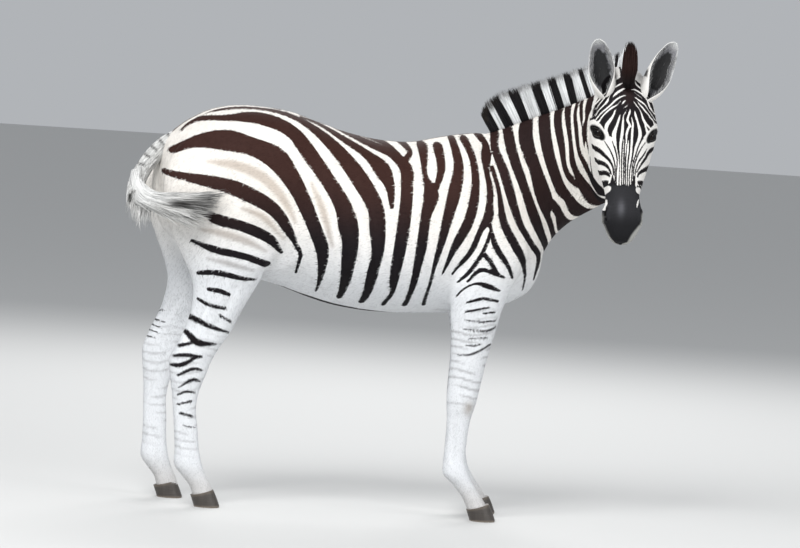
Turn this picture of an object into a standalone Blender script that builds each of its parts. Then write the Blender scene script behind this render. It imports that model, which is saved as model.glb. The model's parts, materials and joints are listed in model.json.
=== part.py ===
"""A plains zebra standing still, life size, as a museum model.

The flesh is built whole in a straight pose (facing +X, +Z up, metres), from lofts that a voxel
remesh joins into one form. It is then posed: the far legs are set back and the neck turns the
head to the animal's right. Thin cuts part it into named pieces, and the coat's long hair, ears,
eyes and hooves are pieces of their own.
"""

import math

import bmesh
import bpy
import numpy as np
from mathutils import Matrix, Vector

# ---------------------------------------------------------------- driving dimensions, metres

ORIGIN_SHIFT = (0.0546, 0.1187, 0.0)  # brings the model's box to the middle of the floor
GAP = 0.0003  # between pieces that meet
VOXEL = 0.007
FLESH_TRIANGLES = 5200
PIECE_SHARE = 0.62  # of a flesh piece's triangles that are kept after the cuts

# Trunk sections: x, top z, bottom z, half width, z of the widest line, roundness above and below.
TRUNK = [
    (-0.815, 1.165, 1.010, 0.035, 1.080, 2.00, 2.0),
    (-0.800, 1.196, 0.950, 0.085, 1.060, 2.00, 2.0),
    (-0.770, 1.228, 0.890, 0.135, 1.040, 2.00, 2.0),
    (-0.720, 1.266, 0.845, 0.183, 1.030, 2.10, 2.0),
    (-0.650, 1.300, 0.805, 0.218, 1.030, 2.20, 2.0),
    (-0.550, 1.316, 0.765, 0.236, 1.020, 2.30, 2.0),
    (-0.420, 1.308, 0.735, 0.238, 0.990, 2.30, 2.0),
    (-0.300, 1.275, 0.695, 0.246, 0.950, 2.20, 2.0),
    (-0.200, 1.247, 0.672, 0.258, 0.920, 2.10, 2.0),
    (-0.100, 1.231, 0.662, 0.264, 0.900, 2.05, 2.0),
    (0.000, 1.230, 0.662, 0.258, 0.900, 2.00, 2.0),
    (0.090, 1.250, 0.666, 0.240, 0.910, 1.90, 2.0),
    (0.170, 1.266, 0.672, 0.215, 0.920, 1.80, 2.0),
    (0.250, 1.272, 0.684, 0.192, 0.930, 1.70, 2.0),
    (0.320, 1.245, 0.700, 0.180, 0.930, 1.80, 2.0),
    (0.380, 1.180, 0.722, 0.165, 0.930, 2.00, 2.0),
    (0.425, 1.100, 0.752, 0.142, 0.930, 2.00, 2.0),
    (0.455, 1.020, 0.800, 0.100, 0.920, 2.00, 2.0),
    (0.468, 0.960, 0.860, 0.045, 0.910, 2.00, 2.0),
]

# Neck sections: crest x and z, under x and z, half width, roundness above and below.
NECK = [
    (0.200, 1.250, 0.442, 0.800, 0.165, 1.7, 2.0),
    (0.285, 1.285, 0.466, 0.870, 0.148, 1.7, 2.0),
    (0.375, 1.325, 0.499, 0.935, 0.127, 1.7, 2.0),
    (0.470, 1.365, 0.542, 0.985, 0.108, 1.7, 2.0),
    (0.570, 1.408, 0.597, 1.034, 0.096, 1.7, 2.0),
    (0.670, 1.452, 0.660, 1.088, 0.088, 1.8, 2.0),
    (0.765, 1.488, 0.712, 1.145, 0.080, 1.9, 2.0),
    (0.850, 1.503, 0.758, 1.205, 0.072, 2.0, 2.0),
    (0.905, 1.480, 0.805, 1.255, 0.055, 2.0, 2.0),
]

# Head sections, in the head's own frame: distance down the face from the poll, then the half
# outline from the face line round to the jaw as (half width, depth behind the face line).
HEAD_POLL = (0.922, 1.510)
HEAD_PITCH = math.radians(18.0)  # of the face line, forward of straight down
HEAD = [
    (-0.030, (0.000, 0.045), (0.030, 0.052), (0.052, 0.095), (0.054, 0.130), (0.045, 0.165), (0.000, 0.180)),
    (0.000, (0.000, 0.012), (0.044, 0.026), (0.072, 0.080), (0.070, 0.130), (0.052, 0.190), (0.000, 0.210)),
    (0.060, (0.000, -0.002), (0.060, 0.012), (0.092, 0.065), (0.085, 0.130), (0.058, 0.215), (0.000, 0.238)),
    (0.120, (0.000, -0.009), (0.076, 0.010), (0.106, 0.058), (0.091, 0.125), (0.062, 0.220), (0.000, 0.246)),
    (0.185, (0.000, -0.010), (0.080, 0.010), (0.113, 0.052), (0.091, 0.115), (0.060, 0.205), (0.000, 0.236)),
    (0.240, (0.000, -0.006), (0.064, 0.012), (0.099, 0.062), (0.086, 0.110), (0.055, 0.180), (0.000, 0.212)),
    (0.300, (0.000, 0.000), (0.050, 0.014), (0.085, 0.064), (0.074, 0.100), (0.047, 0.148), (0.000, 0.178)),
    (0.360, (0.000, 0.004), (0.041, 0.016), (0.068, 0.060), (0.058, 0.090), (0.039, 0.122), (0.000, 0.150)),
    (0.415, (0.000, 0.007), (0.038, 0.018), (0.057, 0.056), (0.051, 0.082), (0.036, 0.108), (0.000, 0.134)),
    (0.455, (0.000, 0.008), (0.044, 0.020), (0.065, 0.054), (0.053, 0.080), (0.037, 0.108), (0.000, 0.132)),
    (0.490, (0.000, 0.011), (0.045, 0.024), (0.066, 0.056), (0.053, 0.082), (0.038, 0.112), (0.000, 0.132)),
    (0.522, (0.000, 0.019), (0.036, 0.030), (0.054, 0.058), (0.047, 0.082), (0.034, 0.108), (0.000, 0.124)),
    (0.548, (0.000, 0.032), (0.024, 0.040), (0.037, 0.060), (0.034, 0.078), (0.025, 0.096), (0.000, 0.108)),
    (0.560, (0.000, 0.050), (0.013, 0.054), (0.019, 0.064), (0.018, 0.074), (0.012, 0.084), (0.000, 0.090)),
]

# The eyeballs, in the head's own frame: down the face, out from the middle, behind the face line.
EYE_PLACE = (0.203, 0.081, 0.042)
EYE_RADIUS = 0.0215

# Ears, before posing: roots and tips (forward, left, up), facing forward and outward.
EAR_ROOT = (0.912, 0.064, 1.430)
EAR_TIPS = {"right": (0.905, -0.102, 1.607), "left": (0.895, 0.158, 1.612)}
EAR_WIDTH = 0.083
EAR_PROFILE = (  # share of the way to the tip, share of the full width
    (0.00, 0.44),
    (0.10, 0.70),
    (0.20, 0.86),
    (0.30, 0.94),
    (0.45, 1.00),
    (0.60, 0.96),
    (0.70, 0.885),
    (0.80, 0.745),
    (0.90, 0.58),
    (0.95, 0.455),
    (1.00, 0.22),
)
EAR_ROLL_AT_ROOT = math.radians(178.0)  # half the turn that the leaf is rolled through
EAR_ROLL_AT_TIP = math.radians(50.0)
EAR_GRID = (11, 7)
EAR_THICKNESS = 0.005

# The mane over the crest: share of the way from withers to poll, height, half width at its foot.
MANE = [
    (0.000, 0.070, 0.010),
    (0.045, 0.105, 0.015),
    (0.120, 0.118, 0.018),
    (0.350, 0.108, 0.019),
    (0.650, 0.099, 0.018),
    (0.900, 0.098, 0.017),
    (1.000, 0.098, 0.014),
]
MANE_START = 0.268  # x of its rear end, before posing
MANE_SECTION = ((-0.20, 0.95), (0.10, 1.00), (0.50, 0.85), (0.85, 0.50), (1.00, 0.12))  # height, width
MANE_PARTS = ("mane_rear", "mane_middle", "mane_front")
MANE_CUTS = (0.22, 0.66)

# The forelock: share of its height, half width.
FORELOCK = ((0.00, 0.013), (0.22, 0.019), (0.42, 0.0245), (0.60, 0.022), (0.80, 0.017), (1.00, 0.008))
FORELOCK_HEIGHT = 0.150

# Leg sections, top to bottom: z, x, distance from the middle, half length, half width.
FORELEG = [
    (1.180, 0.180, 0.070, 0.060, 0.030),
    (1.080, 0.218, 0.114, 0.104, 0.056),
    (0.960, 0.262, 0.138, 0.130, 0.066),
    (0.860, 0.272, 0.146, 0.124, 0.070),
    (0.775, 0.250, 0.148, 0.104, 0.066),
    (0.690, 0.238, 0.146, 0.086, 0.058),
    (0.620, 0.234, 0.143, 0.074, 0.052),
    (0.530, 0.226, 0.139, 0.0605, 0.045),
    (0.450, 0.218, 0.136, 0.055, 0.041),
    (0.390, 0.212, 0.135, 0.050, 0.041),
    (0.330, 0.207, 0.134, 0.040, 0.032),
    (0.260, 0.204, 0.133, 0.036, 0.027),
    (0.200, 0.203, 0.132, 0.037, 0.028),
    (0.150, 0.210, 0.132, 0.043, 0.034),
    (0.115, 0.238, 0.132, 0.036, 0.030),
    (0.080, 0.266, 0.132, 0.034, 0.030),
    (0.030, 0.296, 0.132, 0.038, 0.035),
]
HINDLEG = [
    (1.200, -0.630, 0.095, 0.120, 0.055),
    (1.120, -0.632, 0.122, 0.170, 0.084),
    (1.030, -0.630, 0.138, 0.186, 0.096),
    (0.940, -0.618, 0.144, 0.182, 0.092),
    (0.870, -0.602, 0.145, 0.167, 0.083),
    (0.800, -0.593, 0.142, 0.138, 0.072),
    (0.725, -0.594, 0.135, 0.1055, 0.062),
    (0.650, -0.612, 0.130, 0.085, 0.052),
    (0.574, -0.639, 0.127, 0.077, 0.045),
    (0.517, -0.669, 0.125, 0.0715, 0.040),
    (0.475, -0.688, 0.124, 0.070, 0.038),
    (0.430, -0.693, 0.124, 0.060, 0.038),
    (0.370, -0.6975, 0.124, 0.045, 0.031),
    (0.320, -0.6965, 0.124, 0.039, 0.028),
    (0.250, -0.6870, 0.124, 0.0395, 0.028),
    (0.180, -0.6795, 0.124, 0.0415, 0.030),
    (0.130, -0.671, 0.124, 0.047, 0.036),
    (0.100, -0.652, 0.124, 0.042, 0.033),
    (0.070, -0.630, 0.124, 0.037, 0.032),
    (0.030, -0.612, 0.124, 0.038, 0.035),
]

# Hooves, in each foot's own frame: the middle of the sole from the foot's x, half length of the
# sole, half width, height of the coronet in the middle and its slope up to the toe.
FORE_FOOT = (0.305, 0.132)
HIND_FOOT = (-0.607, 0.124)
HOOF_HALF_LENGTH = 0.043
HOOF_HALF_WIDTH = 0.040
CORONET_HEIGHT = 0.052
CORONET_SLOPE = 0.30

# The tail, as it lies: x, y, z and radius along its middle. It swings round to the right flank.
TAIL = [
    (-0.735, 0.000, 1.232, 0.034),
    (-0.790, 0.000, 1.196, 0.032),
    (-0.838, -0.002, 1.150, 0.029),
    (-0.873, -0.008, 1.102, 0.027),
    (-0.893, -0.025, 1.052, 0.028),
    (-0.894, -0.065, 1.006, 0.033),
    (-0.886, -0.122, 0.978, 0.040),
    (-0.860, -0.190, 0.967, 0.045),
    (-0.806, -0.252, 0.968, 0.046),
    (-0.738, -0.286, 0.974, 0.042),
    (-0.672, -0.290, 0.984, 0.034),
    (-0.612, -0.280, 0.996, 0.021),
    (-0.572, -0.270, 1.006, 0.006),
]
TAIL_RINGS = 25
TAIL_CUT = 10  # the ring where the bony dock ends and the long hair goes on

# Colours, roughness.
WHITE_COAT = (0.66, 0.62, 0.57, 0.85)
DARK_COAT = (0.030, 0.020, 0.017, 0.80)
MUZZLE_COAT = (0.035, 0.031, 0.034, 0.60)
HAIR_WHITE = (0.60, 0.57, 0.53, 0.90)
HORN = (0.060, 0.054, 0.050, 0.55)
EYE_DARK = (0.012, 0.008, 0.006, 0.08)

# ---------------------------------------------------------------- lofts


def between(rows, count):
    """Rows of numbers made into count rows on a smooth curve through them, by their own spacing."""
    rows = np.array(rows, float)
    step = np.linalg.norm(np.diff(rows, axis=0), axis=1)
    at = np.concatenate([[0.0], np.cumsum(step)])
    slope = np.diff(rows, axis=0) / step[:, None]
    tangent = np.empty_like(rows)
    tangent[0], tangent[-1] = slope[0], slope[-1]
    before, after = step[:-1, None], step[1:, None]
    tangent[1:-1] = (slope[:-1] * after + slope[1:] * before) / (before + after)
    t = np.linspace(0.0, at[-1], count)
    i = np.clip(np.searchsorted(at, t, side="right") - 1, 0, len(step) - 1)
    h = step[i][:, None]
    u = ((t - at[i]) / step[i])[:, None]
    return (
        (2 * u**3 - 3 * u**2 + 1) * rows[i]
        + (u**3 - 2 * u**2 + u) * h * tangent[i]
        + (3 * u**2 - 2 * u**3) * rows[i + 1]
        + (u**3 - u**2) * h * tangent[i + 1]
    )


def power_ring(n_above, n_below, sides):
    """A unit section as (across, up) pairs, rounder or squarer above and below the widest line."""
    t = np.linspace(0, 2 * math.pi, sides, endpoint=False)
    n = np.where(np.sin(t) >= 0, n_above, n_below)
    across = np.sign(np.cos(t)) * np.abs(np.cos(t)) ** (2 / n)
    up = np.sign(np.sin(t)) * np.abs(np.sin(t)) ** (2 / n)
    return across, up


def loft(name, rings):
    """One closed mesh through rings of points, with both ends capped."""
    mesh = bpy.data.meshes.new(name)
    bm = bmesh.new()
    rows = [[bm.verts.new(p) for p in ring] for ring in rings]
    for low, high in zip(rows, rows[1:]):
        for j in range(len(low)):
            k = (j + 1) % len(low)
            bm.faces.new((low[j], low[k], high[k], high[j]))
    bm.faces.new(reversed(rows[0]))
    bm.faces.new(rows[-1])
    bmesh.ops.recalc_face_normals(bm, faces=bm.faces)
    bm.to_mesh(mesh)
    bm.free()
    obj = bpy.data.objects.new(name, mesh)
    bpy.context.scene.collection.objects.link(obj)
    return obj


def trunk_loft():
    rings = []
    for x, top, bottom, half, wide, n_top, n_bottom in between(TRUNK, 90):
        across, up = power_ring(n_top, n_bottom, 56)
        z = wide + np.where(up >= 0, up * (top - wide), up * (wide - bottom))
        rings.append(np.stack([np.full(len(z), x), across * half, z], axis=1))
    return loft("trunk_form", rings)


def neck_loft():
    rings = []
    for cx, cz, ux, uz, half, n_top, n_bottom in between(NECK, 50):
        across, up = power_ring(n_top, n_bottom, 48)
        share = 0.46 + up * np.where(up >= 0, 0.54, 0.46)
        rings.append(
            np.stack([ux + (cx - ux) * share, across * half, uz + (cz - uz) * share], axis=1)
        )
    return loft("neck_form", rings)


def head_point(down, across, deep):
    """A point of the head's own frame in the model's frame, before posing."""
    along_x, along_z = math.sin(HEAD_PITCH), -math.cos(HEAD_PITCH)
    x = HEAD_POLL[0] + down * along_x + deep * along_z
    z = HEAD_POLL[1] + down * along_z - deep * along_x
    return np.stack(np.broadcast_arrays(x, across, z), axis=-1)


def head_loft():
    flat = [(down, *(v for pair in outline for v in pair)) for down, *outline in HEAD]
    rings = []
    for row in between(flat, 70):
        right = row[1:].reshape(-1, 2)
        left = right[-2:0:-1] * (-1, 1)
        ring = np.concatenate([right, left, right[:1]])
        ring = closed_curve(ring, 48)
        rings.append(head_point(row[0], ring[:, 0], ring[:, 1]))
    return loft("head_form", rings)


def closed_curve(points, count):
    """A smooth closed curve through a ring of points whose last repeats its first."""
    wrapped = np.concatenate([points[-3:-1], points, points[1:3]])
    dense = between(wrapped, 40 * len(wrapped))
    step = np.linalg.norm(np.diff(wrapped, axis=0), axis=1)
    along = np.concatenate([[0.0], np.cumsum(step)])
    start, end = along[2], along[-3]
    at = np.linspace(0.0, along[-1], len(dense))
    wanted = np.linspace(start, end, count, endpoint=False)
    return np.stack([np.interp(wanted, at, dense[:, k]) for k in range(2)], axis=1)


def leg_loft(name, rows, side):
    rings = []
    for z, x, off, half_x, half_y in between(rows, 110):
        across, up = power_ring(2.1, 2.1, 32)
        rings.append(
            np.stack([x + across * half_x, side * off + up * half_y, np.full(32, z)], axis=1)
        )
    return loft(name, rings)


# ---------------------------------------------------------------- joining and smoothing


def evaluated_mesh(obj):
    graph = bpy.context.evaluated_depsgraph_get()
    return bpy.data.meshes.new_from_object(obj.evaluated_get(graph))


def discard(*objects):
    for obj in objects:
        bpy.data.objects.remove(obj, do_unlink=True)


def points_of(mesh):
    flat = np.empty(3 * len(mesh.vertices))
    mesh.vertices.foreach_get("co", flat)
    return flat.reshape(-1, 3)


def set_points(mesh, points):
    mesh.vertices.foreach_set("co", points.ravel())
    mesh.update()


def merged(name, forms):
    """One closed form made of overlapping ones."""
    bm = bmesh.new()
    for form in forms:
        bm.from_mesh(form.data)
    mesh = bpy.data.meshes.new(name)
    bm.to_mesh(mesh)
    bm.free()
    discard(*forms)
    obj = bpy.data.objects.new(name, mesh)
    bpy.context.scene.collection.objects.link(obj)
    remesh = obj.modifiers.new("one_form", "REMESH")
    remesh.mode = "VOXEL"
    remesh.voxel_size = VOXEL
    obj.data = evaluated_mesh(obj)
    obj.modifiers.clear()
    return obj


def ramp(value, low, high):
    """0 below low and 1 above high, smooth between. High may be under low."""
    t = np.clip((value - low) / (high - low), 0.0, 1.0)
    return t * t * (3 - 2 * t)


def softness(points):
    """How much of the smoothing each point takes: all on the trunk, little on legs and head."""
    x, z = points[:, 0], points[:, 2]
    legs = ramp(z, 0.52, 0.72)
    head = ramp(x + 0.6 * (z - 1.3), 0.80, 0.66)
    return 0.10 + 0.90 * legs * head


def smooth(mesh, share, rounds):
    """Smoothing that keeps volume: each round draws points in, then lets them out again."""
    ends = np.empty(2 * len(mesh.edges), int)
    mesh.edges.foreach_get("vertices", ends)
    ends = ends.reshape(-1, 2)
    ends = np.concatenate([ends, ends[:, ::-1]])
    points = points_of(mesh)
    count = len(points)
    degree = np.bincount(ends[:, 0], minlength=count)
    for turn in range(2 * rounds):
        push = (0.52, -0.535)[turn % 2]
        mean = [np.bincount(ends[:, 0], points[ends[:, 1], k], count) / degree for k in range(3)]
        points = points + push * share[:, None] * (np.stack(mean, axis=1) - points)
    set_points(mesh, points)


# ---------------------------------------------------------------- pose

# How far each height of the far hind leg stands back from the near one, and how much higher.
FAR_HIND_Z = (0.00, 0.12, 0.20, 0.36, 0.48, 0.55, 0.66, 0.78, 0.88, 1.00, 1.12, 1.25)
FAR_HIND_BACK = (0.100, 0.090, 0.085, 0.074, 0.067, 0.075, 0.068, 0.050, 0.036, 0.036, 0.030, 0.0)
FAR_HIND_LIFT = (0.0, 0.0, 0.010, 0.018, 0.020, 0.016, 0.006, 0.0, 0.0, 0.0, 0.0, 0.0)

# How far each height of the far foreleg stands forward of the near one.
FAR_FORE_Z = (0.00, 0.60, 0.80, 1.00)
FAR_FORE_FORWARD = (0.040, 0.040, 0.024, 0.0)

# The neck turns over a fan of planes through one line under the chest.
NECK_PIVOT = (0.521, 0.797)
NECK_BASE_ANGLE = math.radians(118.0)
NECK_HEAD_ANGLE = math.radians(66.6)
NECK_BASE_CENTRE = (0.355, 1.110)
NECK_HEAD_CENTRE = (0.778, 1.360)
NECK_TURN = math.radians(-91.0)
NECK_TURN_POWER = 2.6


def set_back(points):
    """The far legs in their own places: the hind one back, the front one forward."""
    x, y, z = points.T
    far = ramp(y, -0.03, 0.10)
    hind = far * ramp(x, -0.30, -0.45)
    fore = far * ramp(x, 0.02, 0.14)
    back = np.interp(z, FAR_HIND_Z, FAR_HIND_BACK)
    lift = np.interp(z, FAR_HIND_Z, FAR_HIND_LIFT)
    forward = np.interp(z, FAR_FORE_Z, FAR_FORE_FORWARD)
    return np.stack([x - hind * back + fore * forward, y, z + hind * lift], axis=1)


def neck_path():
    """Along the neck's middle line: its share of the way, straight place, turn and turned place."""
    share = np.linspace(0.0, 1.0, 241)
    angle = NECK_BASE_ANGLE + (NECK_HEAD_ANGLE - NECK_BASE_ANGLE) * share
    start, end = np.array(NECK_BASE_CENTRE), np.array(NECK_HEAD_CENTRE)
    ray = np.stack([np.cos(angle), np.sin(angle)], axis=1)
    line = end - start
    gap = start - np.array(NECK_PIVOT)
    cross = ray[:, 0] * line[1] - ray[:, 1] * line[0]
    along = (gap[0] * ray[:, 1] - gap[1] * ray[:, 0]) / cross
    middle = start + along[:, None] * line
    straight = np.stack([middle[:, 0], np.zeros(len(share)), middle[:, 1]], axis=1)
    turn = NECK_TURN * share**NECK_TURN_POWER
    step = np.diff(straight, axis=0)
    half = (turn[1:] + turn[:-1]) / 2
    moved = np.stack([step[:, 0] * np.cos(half), step[:, 0] * np.sin(half), step[:, 2]], axis=1)
    turned = np.concatenate([straight[:1], straight[0] + np.cumsum(moved, axis=0)])
    return share, straight, turn, turned


def spun(off, cos, sin):
    """Points turned about the upright through the origin."""
    x = off[:, 0] * cos - off[:, 1] * sin
    y = off[:, 0] * sin + off[:, 1] * cos
    return np.stack([x, y, off[:, 2]], axis=1)


def turn_neck(points):
    share, straight, turn, turned = neck_path()
    x, y, z = points.T
    angle = np.arctan2(z - NECK_PIVOT[1], x - NECK_PIVOT[0])
    angle = np.where(angle < math.radians(-62.0), angle + 2 * math.pi, angle)
    s = np.clip((NECK_BASE_ANGLE - angle) / (NECK_BASE_ANGLE - NECK_HEAD_ANGLE), 0.0, 1.0)
    s = np.where(x < NECK_PIVOT[0] - 0.4, 0.0, s)
    c = np.stack([np.interp(s, share, straight[:, k]) for k in range(3)], axis=1)
    p = np.stack([np.interp(s, share, turned[:, k]) for k in range(3)], axis=1)
    a = np.interp(s, share, turn)
    return p + spun(points - c, np.cos(a), np.sin(a))


def posed(points):
    return turn_neck(set_back(points)) + np.array(ORIGIN_SHIFT)


def on_head(points):
    """The turned neck's whole turn, for what is fixed to the head."""
    share, straight, turn, turned = neck_path()
    off = np.asarray(points, float) - straight[-1]
    return turned[-1] + spun(off, math.cos(turn[-1]), math.sin(turn[-1])) + np.array(ORIGIN_SHIFT)


def flesh_form():
    forms = [trunk_loft(), neck_loft(), head_loft()]
    for side in (-1, 1):
        forms.append(leg_loft("fore_form", FORELEG, side))
        forms.append(leg_loft("hind_form", HINDLEG, side))
    flesh = merged("flesh", forms)
    points = points_of(flesh.data)
    smooth(flesh.data, softness(points), 30)
    set_points(flesh.data, posed(points_of(flesh.data)))
    fewer = flesh.modifiers.new("fewer_faces", "DECIMATE")
    fewer.ratio = FLESH_TRIANGLES / (2 * len(flesh.data.polygons))
    flesh.data = evaluated_mesh(flesh)
    flesh.modifiers.clear()
    return flesh


# ---------------------------------------------------------------- cuts


def box(name, centre, axes, size):
    """A box about centre, its edges along three axes."""
    mesh = bpy.data.meshes.new(name)
    bm = bmesh.new()
    bmesh.ops.create_cube(bm, size=1.0)
    turn = Matrix(np.array(axes, float).T.tolist()).to_4x4()
    place = Matrix.Translation(Vector(centre)) @ turn @ Matrix.Diagonal((*size, 1.0))
    bmesh.ops.transform(bm, matrix=place, verts=bm.verts)
    bmesh.ops.recalc_face_normals(bm, faces=bm.faces)
    bm.to_mesh(mesh)
    bm.free()
    obj = bpy.data.objects.new(name, mesh)
    bpy.context.scene.collection.objects.link(obj)
    return obj


def ball(name, centre, radius, sides):
    mesh = bpy.data.meshes.new(name)
    bm = bmesh.new()
    bmesh.ops.create_uvsphere(bm, u_segments=sides, v_segments=sides // 2, radius=radius)
    bmesh.ops.translate(bm, vec=Vector(centre), verts=bm.verts)
    bm.to_mesh(mesh)
    bm.free()
    obj = bpy.data.objects.new(name, mesh)
    bpy.context.scene.collection.objects.link(obj)
    return obj


def neck_cut(share_wanted, name, length):
    """A thin slab across the turned neck, at a share of the way from its base to the head."""
    share, straight, turn, turned = neck_path()
    angle = NECK_BASE_ANGLE + (NECK_HEAD_ANGLE - NECK_BASE_ANGLE) * share_wanted
    a = np.interp(share_wanted, share, turn)
    c = np.array([np.interp(share_wanted, share, turned[:, k]) for k in range(3)])
    ray = np.array([math.cos(angle) * math.cos(a), math.cos(angle) * math.sin(a), math.sin(angle)])
    side = np.array([-math.sin(a), math.cos(a), 0.0])
    return box(name, c + np.array(ORIGIN_SHIFT), (ray, side, np.cross(ray, side)), (length, 0.5, GAP))


def trunk_cut(x, name):
    """A thin slab across the trunk."""
    centre = np.array([x, 0.0, 0.98]) + np.array(ORIGIN_SHIFT)
    return box(name, centre, np.eye(3), (GAP, 0.7, 0.8))


def head_cut(down, name, size):
    """A thin slab across the head, square to the face."""
    along = np.array([math.sin(HEAD_PITCH), 0.0, -math.cos(HEAD_PITCH)])
    deep = np.array([along[2], 0.0, -along[0]])
    middle = head_point(down, 0.0, 0.07)
    ends = on_head(np.array([middle, middle + along, middle + deep]))
    along, deep = ends[1] - ends[0], ends[2] - ends[0]
    return box(name, ends[0], (deep, np.cross(along, deep), along), (size, size, GAP))


def leg_cuts():
    """Slabs that part each leg from the trunk and divide it at the joints."""
    cuts = []
    for side in (-1, 1):
        for kind, x, top_z, tilt, lower in (
            ("fore", 0.250, 0.700, math.radians(24.0), (0.385, 0.155)),
            ("hind", -0.610, 0.742, math.radians(20.0), (0.500, 0.140)),
        ):
            out = np.array([0.0, side * math.cos(tilt), math.sin(tilt)])
            up = np.array([0.0, -side * math.sin(tilt), math.cos(tilt)])
            centre = set_back(np.array([[x, side * 0.155, top_z]]))[0] + np.array(ORIGIN_SHIFT)
            axes = ((1.0, 0.0, 0.0), out, up)
            cuts.append(box("cut_" + kind, centre, axes, (0.300, 0.270, GAP)))
            for z in lower:
                rows = np.array(FORELEG if kind == "fore" else HINDLEG)[::-1]
                leg_x = np.interp(z, rows[:, 0], rows[:, 1])
                centre = set_back(np.array([[leg_x, side * 0.13, z]]))[0] + np.array(ORIGIN_SHIFT)
                cuts.append(box("cut_" + kind, centre, np.eye(3), (0.190, 0.150, GAP)))
    return cuts


def foot_places():
    for side, word in ((-1, "right"), (1, "left")):
        for kind, (x, off) in (("fore", FORE_FOOT), ("hind", HIND_FOOT)):
            spot = set_back(np.array([[x, side * off, 0.0]]))[0] + np.array(ORIGIN_SHIFT)
            yield f"{kind}_{word}", spot


def foot_cuts():
    """Blocks that end each leg at its coronet, on a slope that rises to the toe."""
    cuts = []
    slope = math.atan(CORONET_SLOPE)
    ahead = (math.cos(slope), 0.0, math.sin(slope))
    above = (-math.sin(slope), 0.0, math.cos(slope))
    axes = (ahead, (0.0, 1.0, 0.0), above)
    height = 0.080
    for name, spot in foot_places():
        top = np.array([spot[0], spot[1], CORONET_HEIGHT])
        centre = top - np.array(above) * height / 2
        cuts.append(box("cut_foot", centre, axes, (0.160, 0.130, height)))
    return cuts


def cut_all(obj, cutters):
    """Takes every cutter out of the object, with the cutters' own collection."""
    group = bpy.data.collections.new("cutters_" + obj.name)
    bpy.context.scene.collection.children.link(group)
    group.hide_render = True
    for cutter in cutters:
        bpy.context.scene.collection.objects.unlink(cutter)
        group.objects.link(cutter)
        cutter.hide_render = True
        cutter.display_type = "WIRE"
    cut = obj.modifiers.new("cuts", "BOOLEAN")
    cut.operation = "DIFFERENCE"
    cut.operand_type = "COLLECTION"
    cut.collection = group
    cut.solver = "EXACT"
    obj.data = evaluated_mesh(obj)
    obj.modifiers.clear()
    discard(*cutters)
    bpy.data.collections.remove(group)
    return obj


FLESH_PARTS = {
    "head": (0.65, -0.28, 1.30),
    "muzzle": (0.65, -0.42, 1.05),
    "neck_upper": (0.61, -0.09, 1.24),
    "neck_lower": (0.40, 0.00, 1.13),
    "forequarters": (0.28, 0.00, 0.97),
    "barrel": (-0.16, 0.00, 0.98),
    "hindquarters": (-0.63, 0.00, 1.01),
    "forearm": (0.24, 0.145, 0.55),
    "cannon_fore": (0.21, 0.135, 0.27),
    "pastern_fore": (0.25, 0.132, 0.10),
    "gaskin": (-0.62, 0.13, 0.63),
    "cannon_hind": (-0.69, 0.125, 0.32),
    "pastern_hind": (-0.64, 0.125, 0.09),
}


def bodies_of(obj):
    """The object's separate bodies, each as an object of its own, the largest first."""
    bm = bmesh.new()
    bm.from_mesh(obj.data)
    bm.verts.ensure_lookup_table()
    island = {}
    for seed in bm.verts:
        if seed.index in island:
            continue
        stack = [seed]
        island[seed.index] = seed.index
        while stack:
            for edge in stack.pop().link_edges:
                for vert in edge.verts:
                    if vert.index not in island:
                        island[vert.index] = seed.index
                        stack.append(vert)
    marks, counts = np.unique(list(island.values()), return_counts=True)
    found = []
    for mark in marks[np.argsort(-counts, kind="stable")]:
        body = bm.copy()
        body.verts.ensure_lookup_table()
        gone = [v for v in body.verts if island[v.index] != mark]
        bmesh.ops.delete(body, geom=gone, context="VERTS")
        mesh = bpy.data.meshes.new(obj.name)
        body.to_mesh(mesh)
        body.free()
        piece = bpy.data.objects.new(obj.name, mesh)
        bpy.context.scene.collection.objects.link(piece)
        found.append(piece)
    bm.free()
    discard(obj)
    return found


def middle_of(obj):
    points = points_of(obj.data)
    return (points.min(axis=0) + points.max(axis=0)) / 2


def parted(flesh):
    """The flesh's separate bodies, named by where they are, with fewer faces."""
    named = {}
    shift = np.array(ORIGIN_SHIFT)
    for name, (x, y, z) in FLESH_PARTS.items():
        if z > 0.7:
            named[name] = np.array([x, y, z]) + shift
            continue
        for side, word in ((-1, "right"), (1, "left")):
            named[f"{name}_{word}"] = set_back(np.array([[x, side * y, z]]))[0] + shift
    pieces = {}
    for obj in bodies_of(flesh):
        name = min(named, key=lambda n: np.linalg.norm(named[n] - middle_of(obj)))
        named.pop(name)
        obj.name = name
        triangles = obj.modifiers.new("triangles", "TRIANGULATE")
        triangles.min_vertices = 4
        fewer = obj.modifiers.new("fewer_faces", "DECIMATE")
        fewer.ratio = 1.0 if name in ("head", "muzzle") else PIECE_SHARE
        obj.data = evaluated_mesh(obj)
        obj.modifiers.clear()
        pieces[name] = obj
    return pieces


def swollen(flesh):
    """The flesh a little larger, to cut what sits on it."""
    skin = bpy.data.objects.new("swollen", flesh.data.copy())
    bpy.context.scene.collection.objects.link(skin)
    normals = np.empty(3 * len(skin.data.vertices))
    skin.data.vertices.foreach_get("normal", normals)
    set_points(skin.data, points_of(skin.data) + 1.5 * GAP * normals.reshape(-1, 3))
    return skin


def seat(obj, bodies):
    """Cuts a piece that is rooted in the flesh off at the flesh's surface."""
    for body in bodies:
        cut_all(obj, [swollen(body)])
    name = obj.name
    found = bodies_of(obj)
    discard(*found[1:])
    found[0].name = name
    return found[0]


# ---------------------------------------------------------------- ears, eyes, hair, hooves


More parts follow.
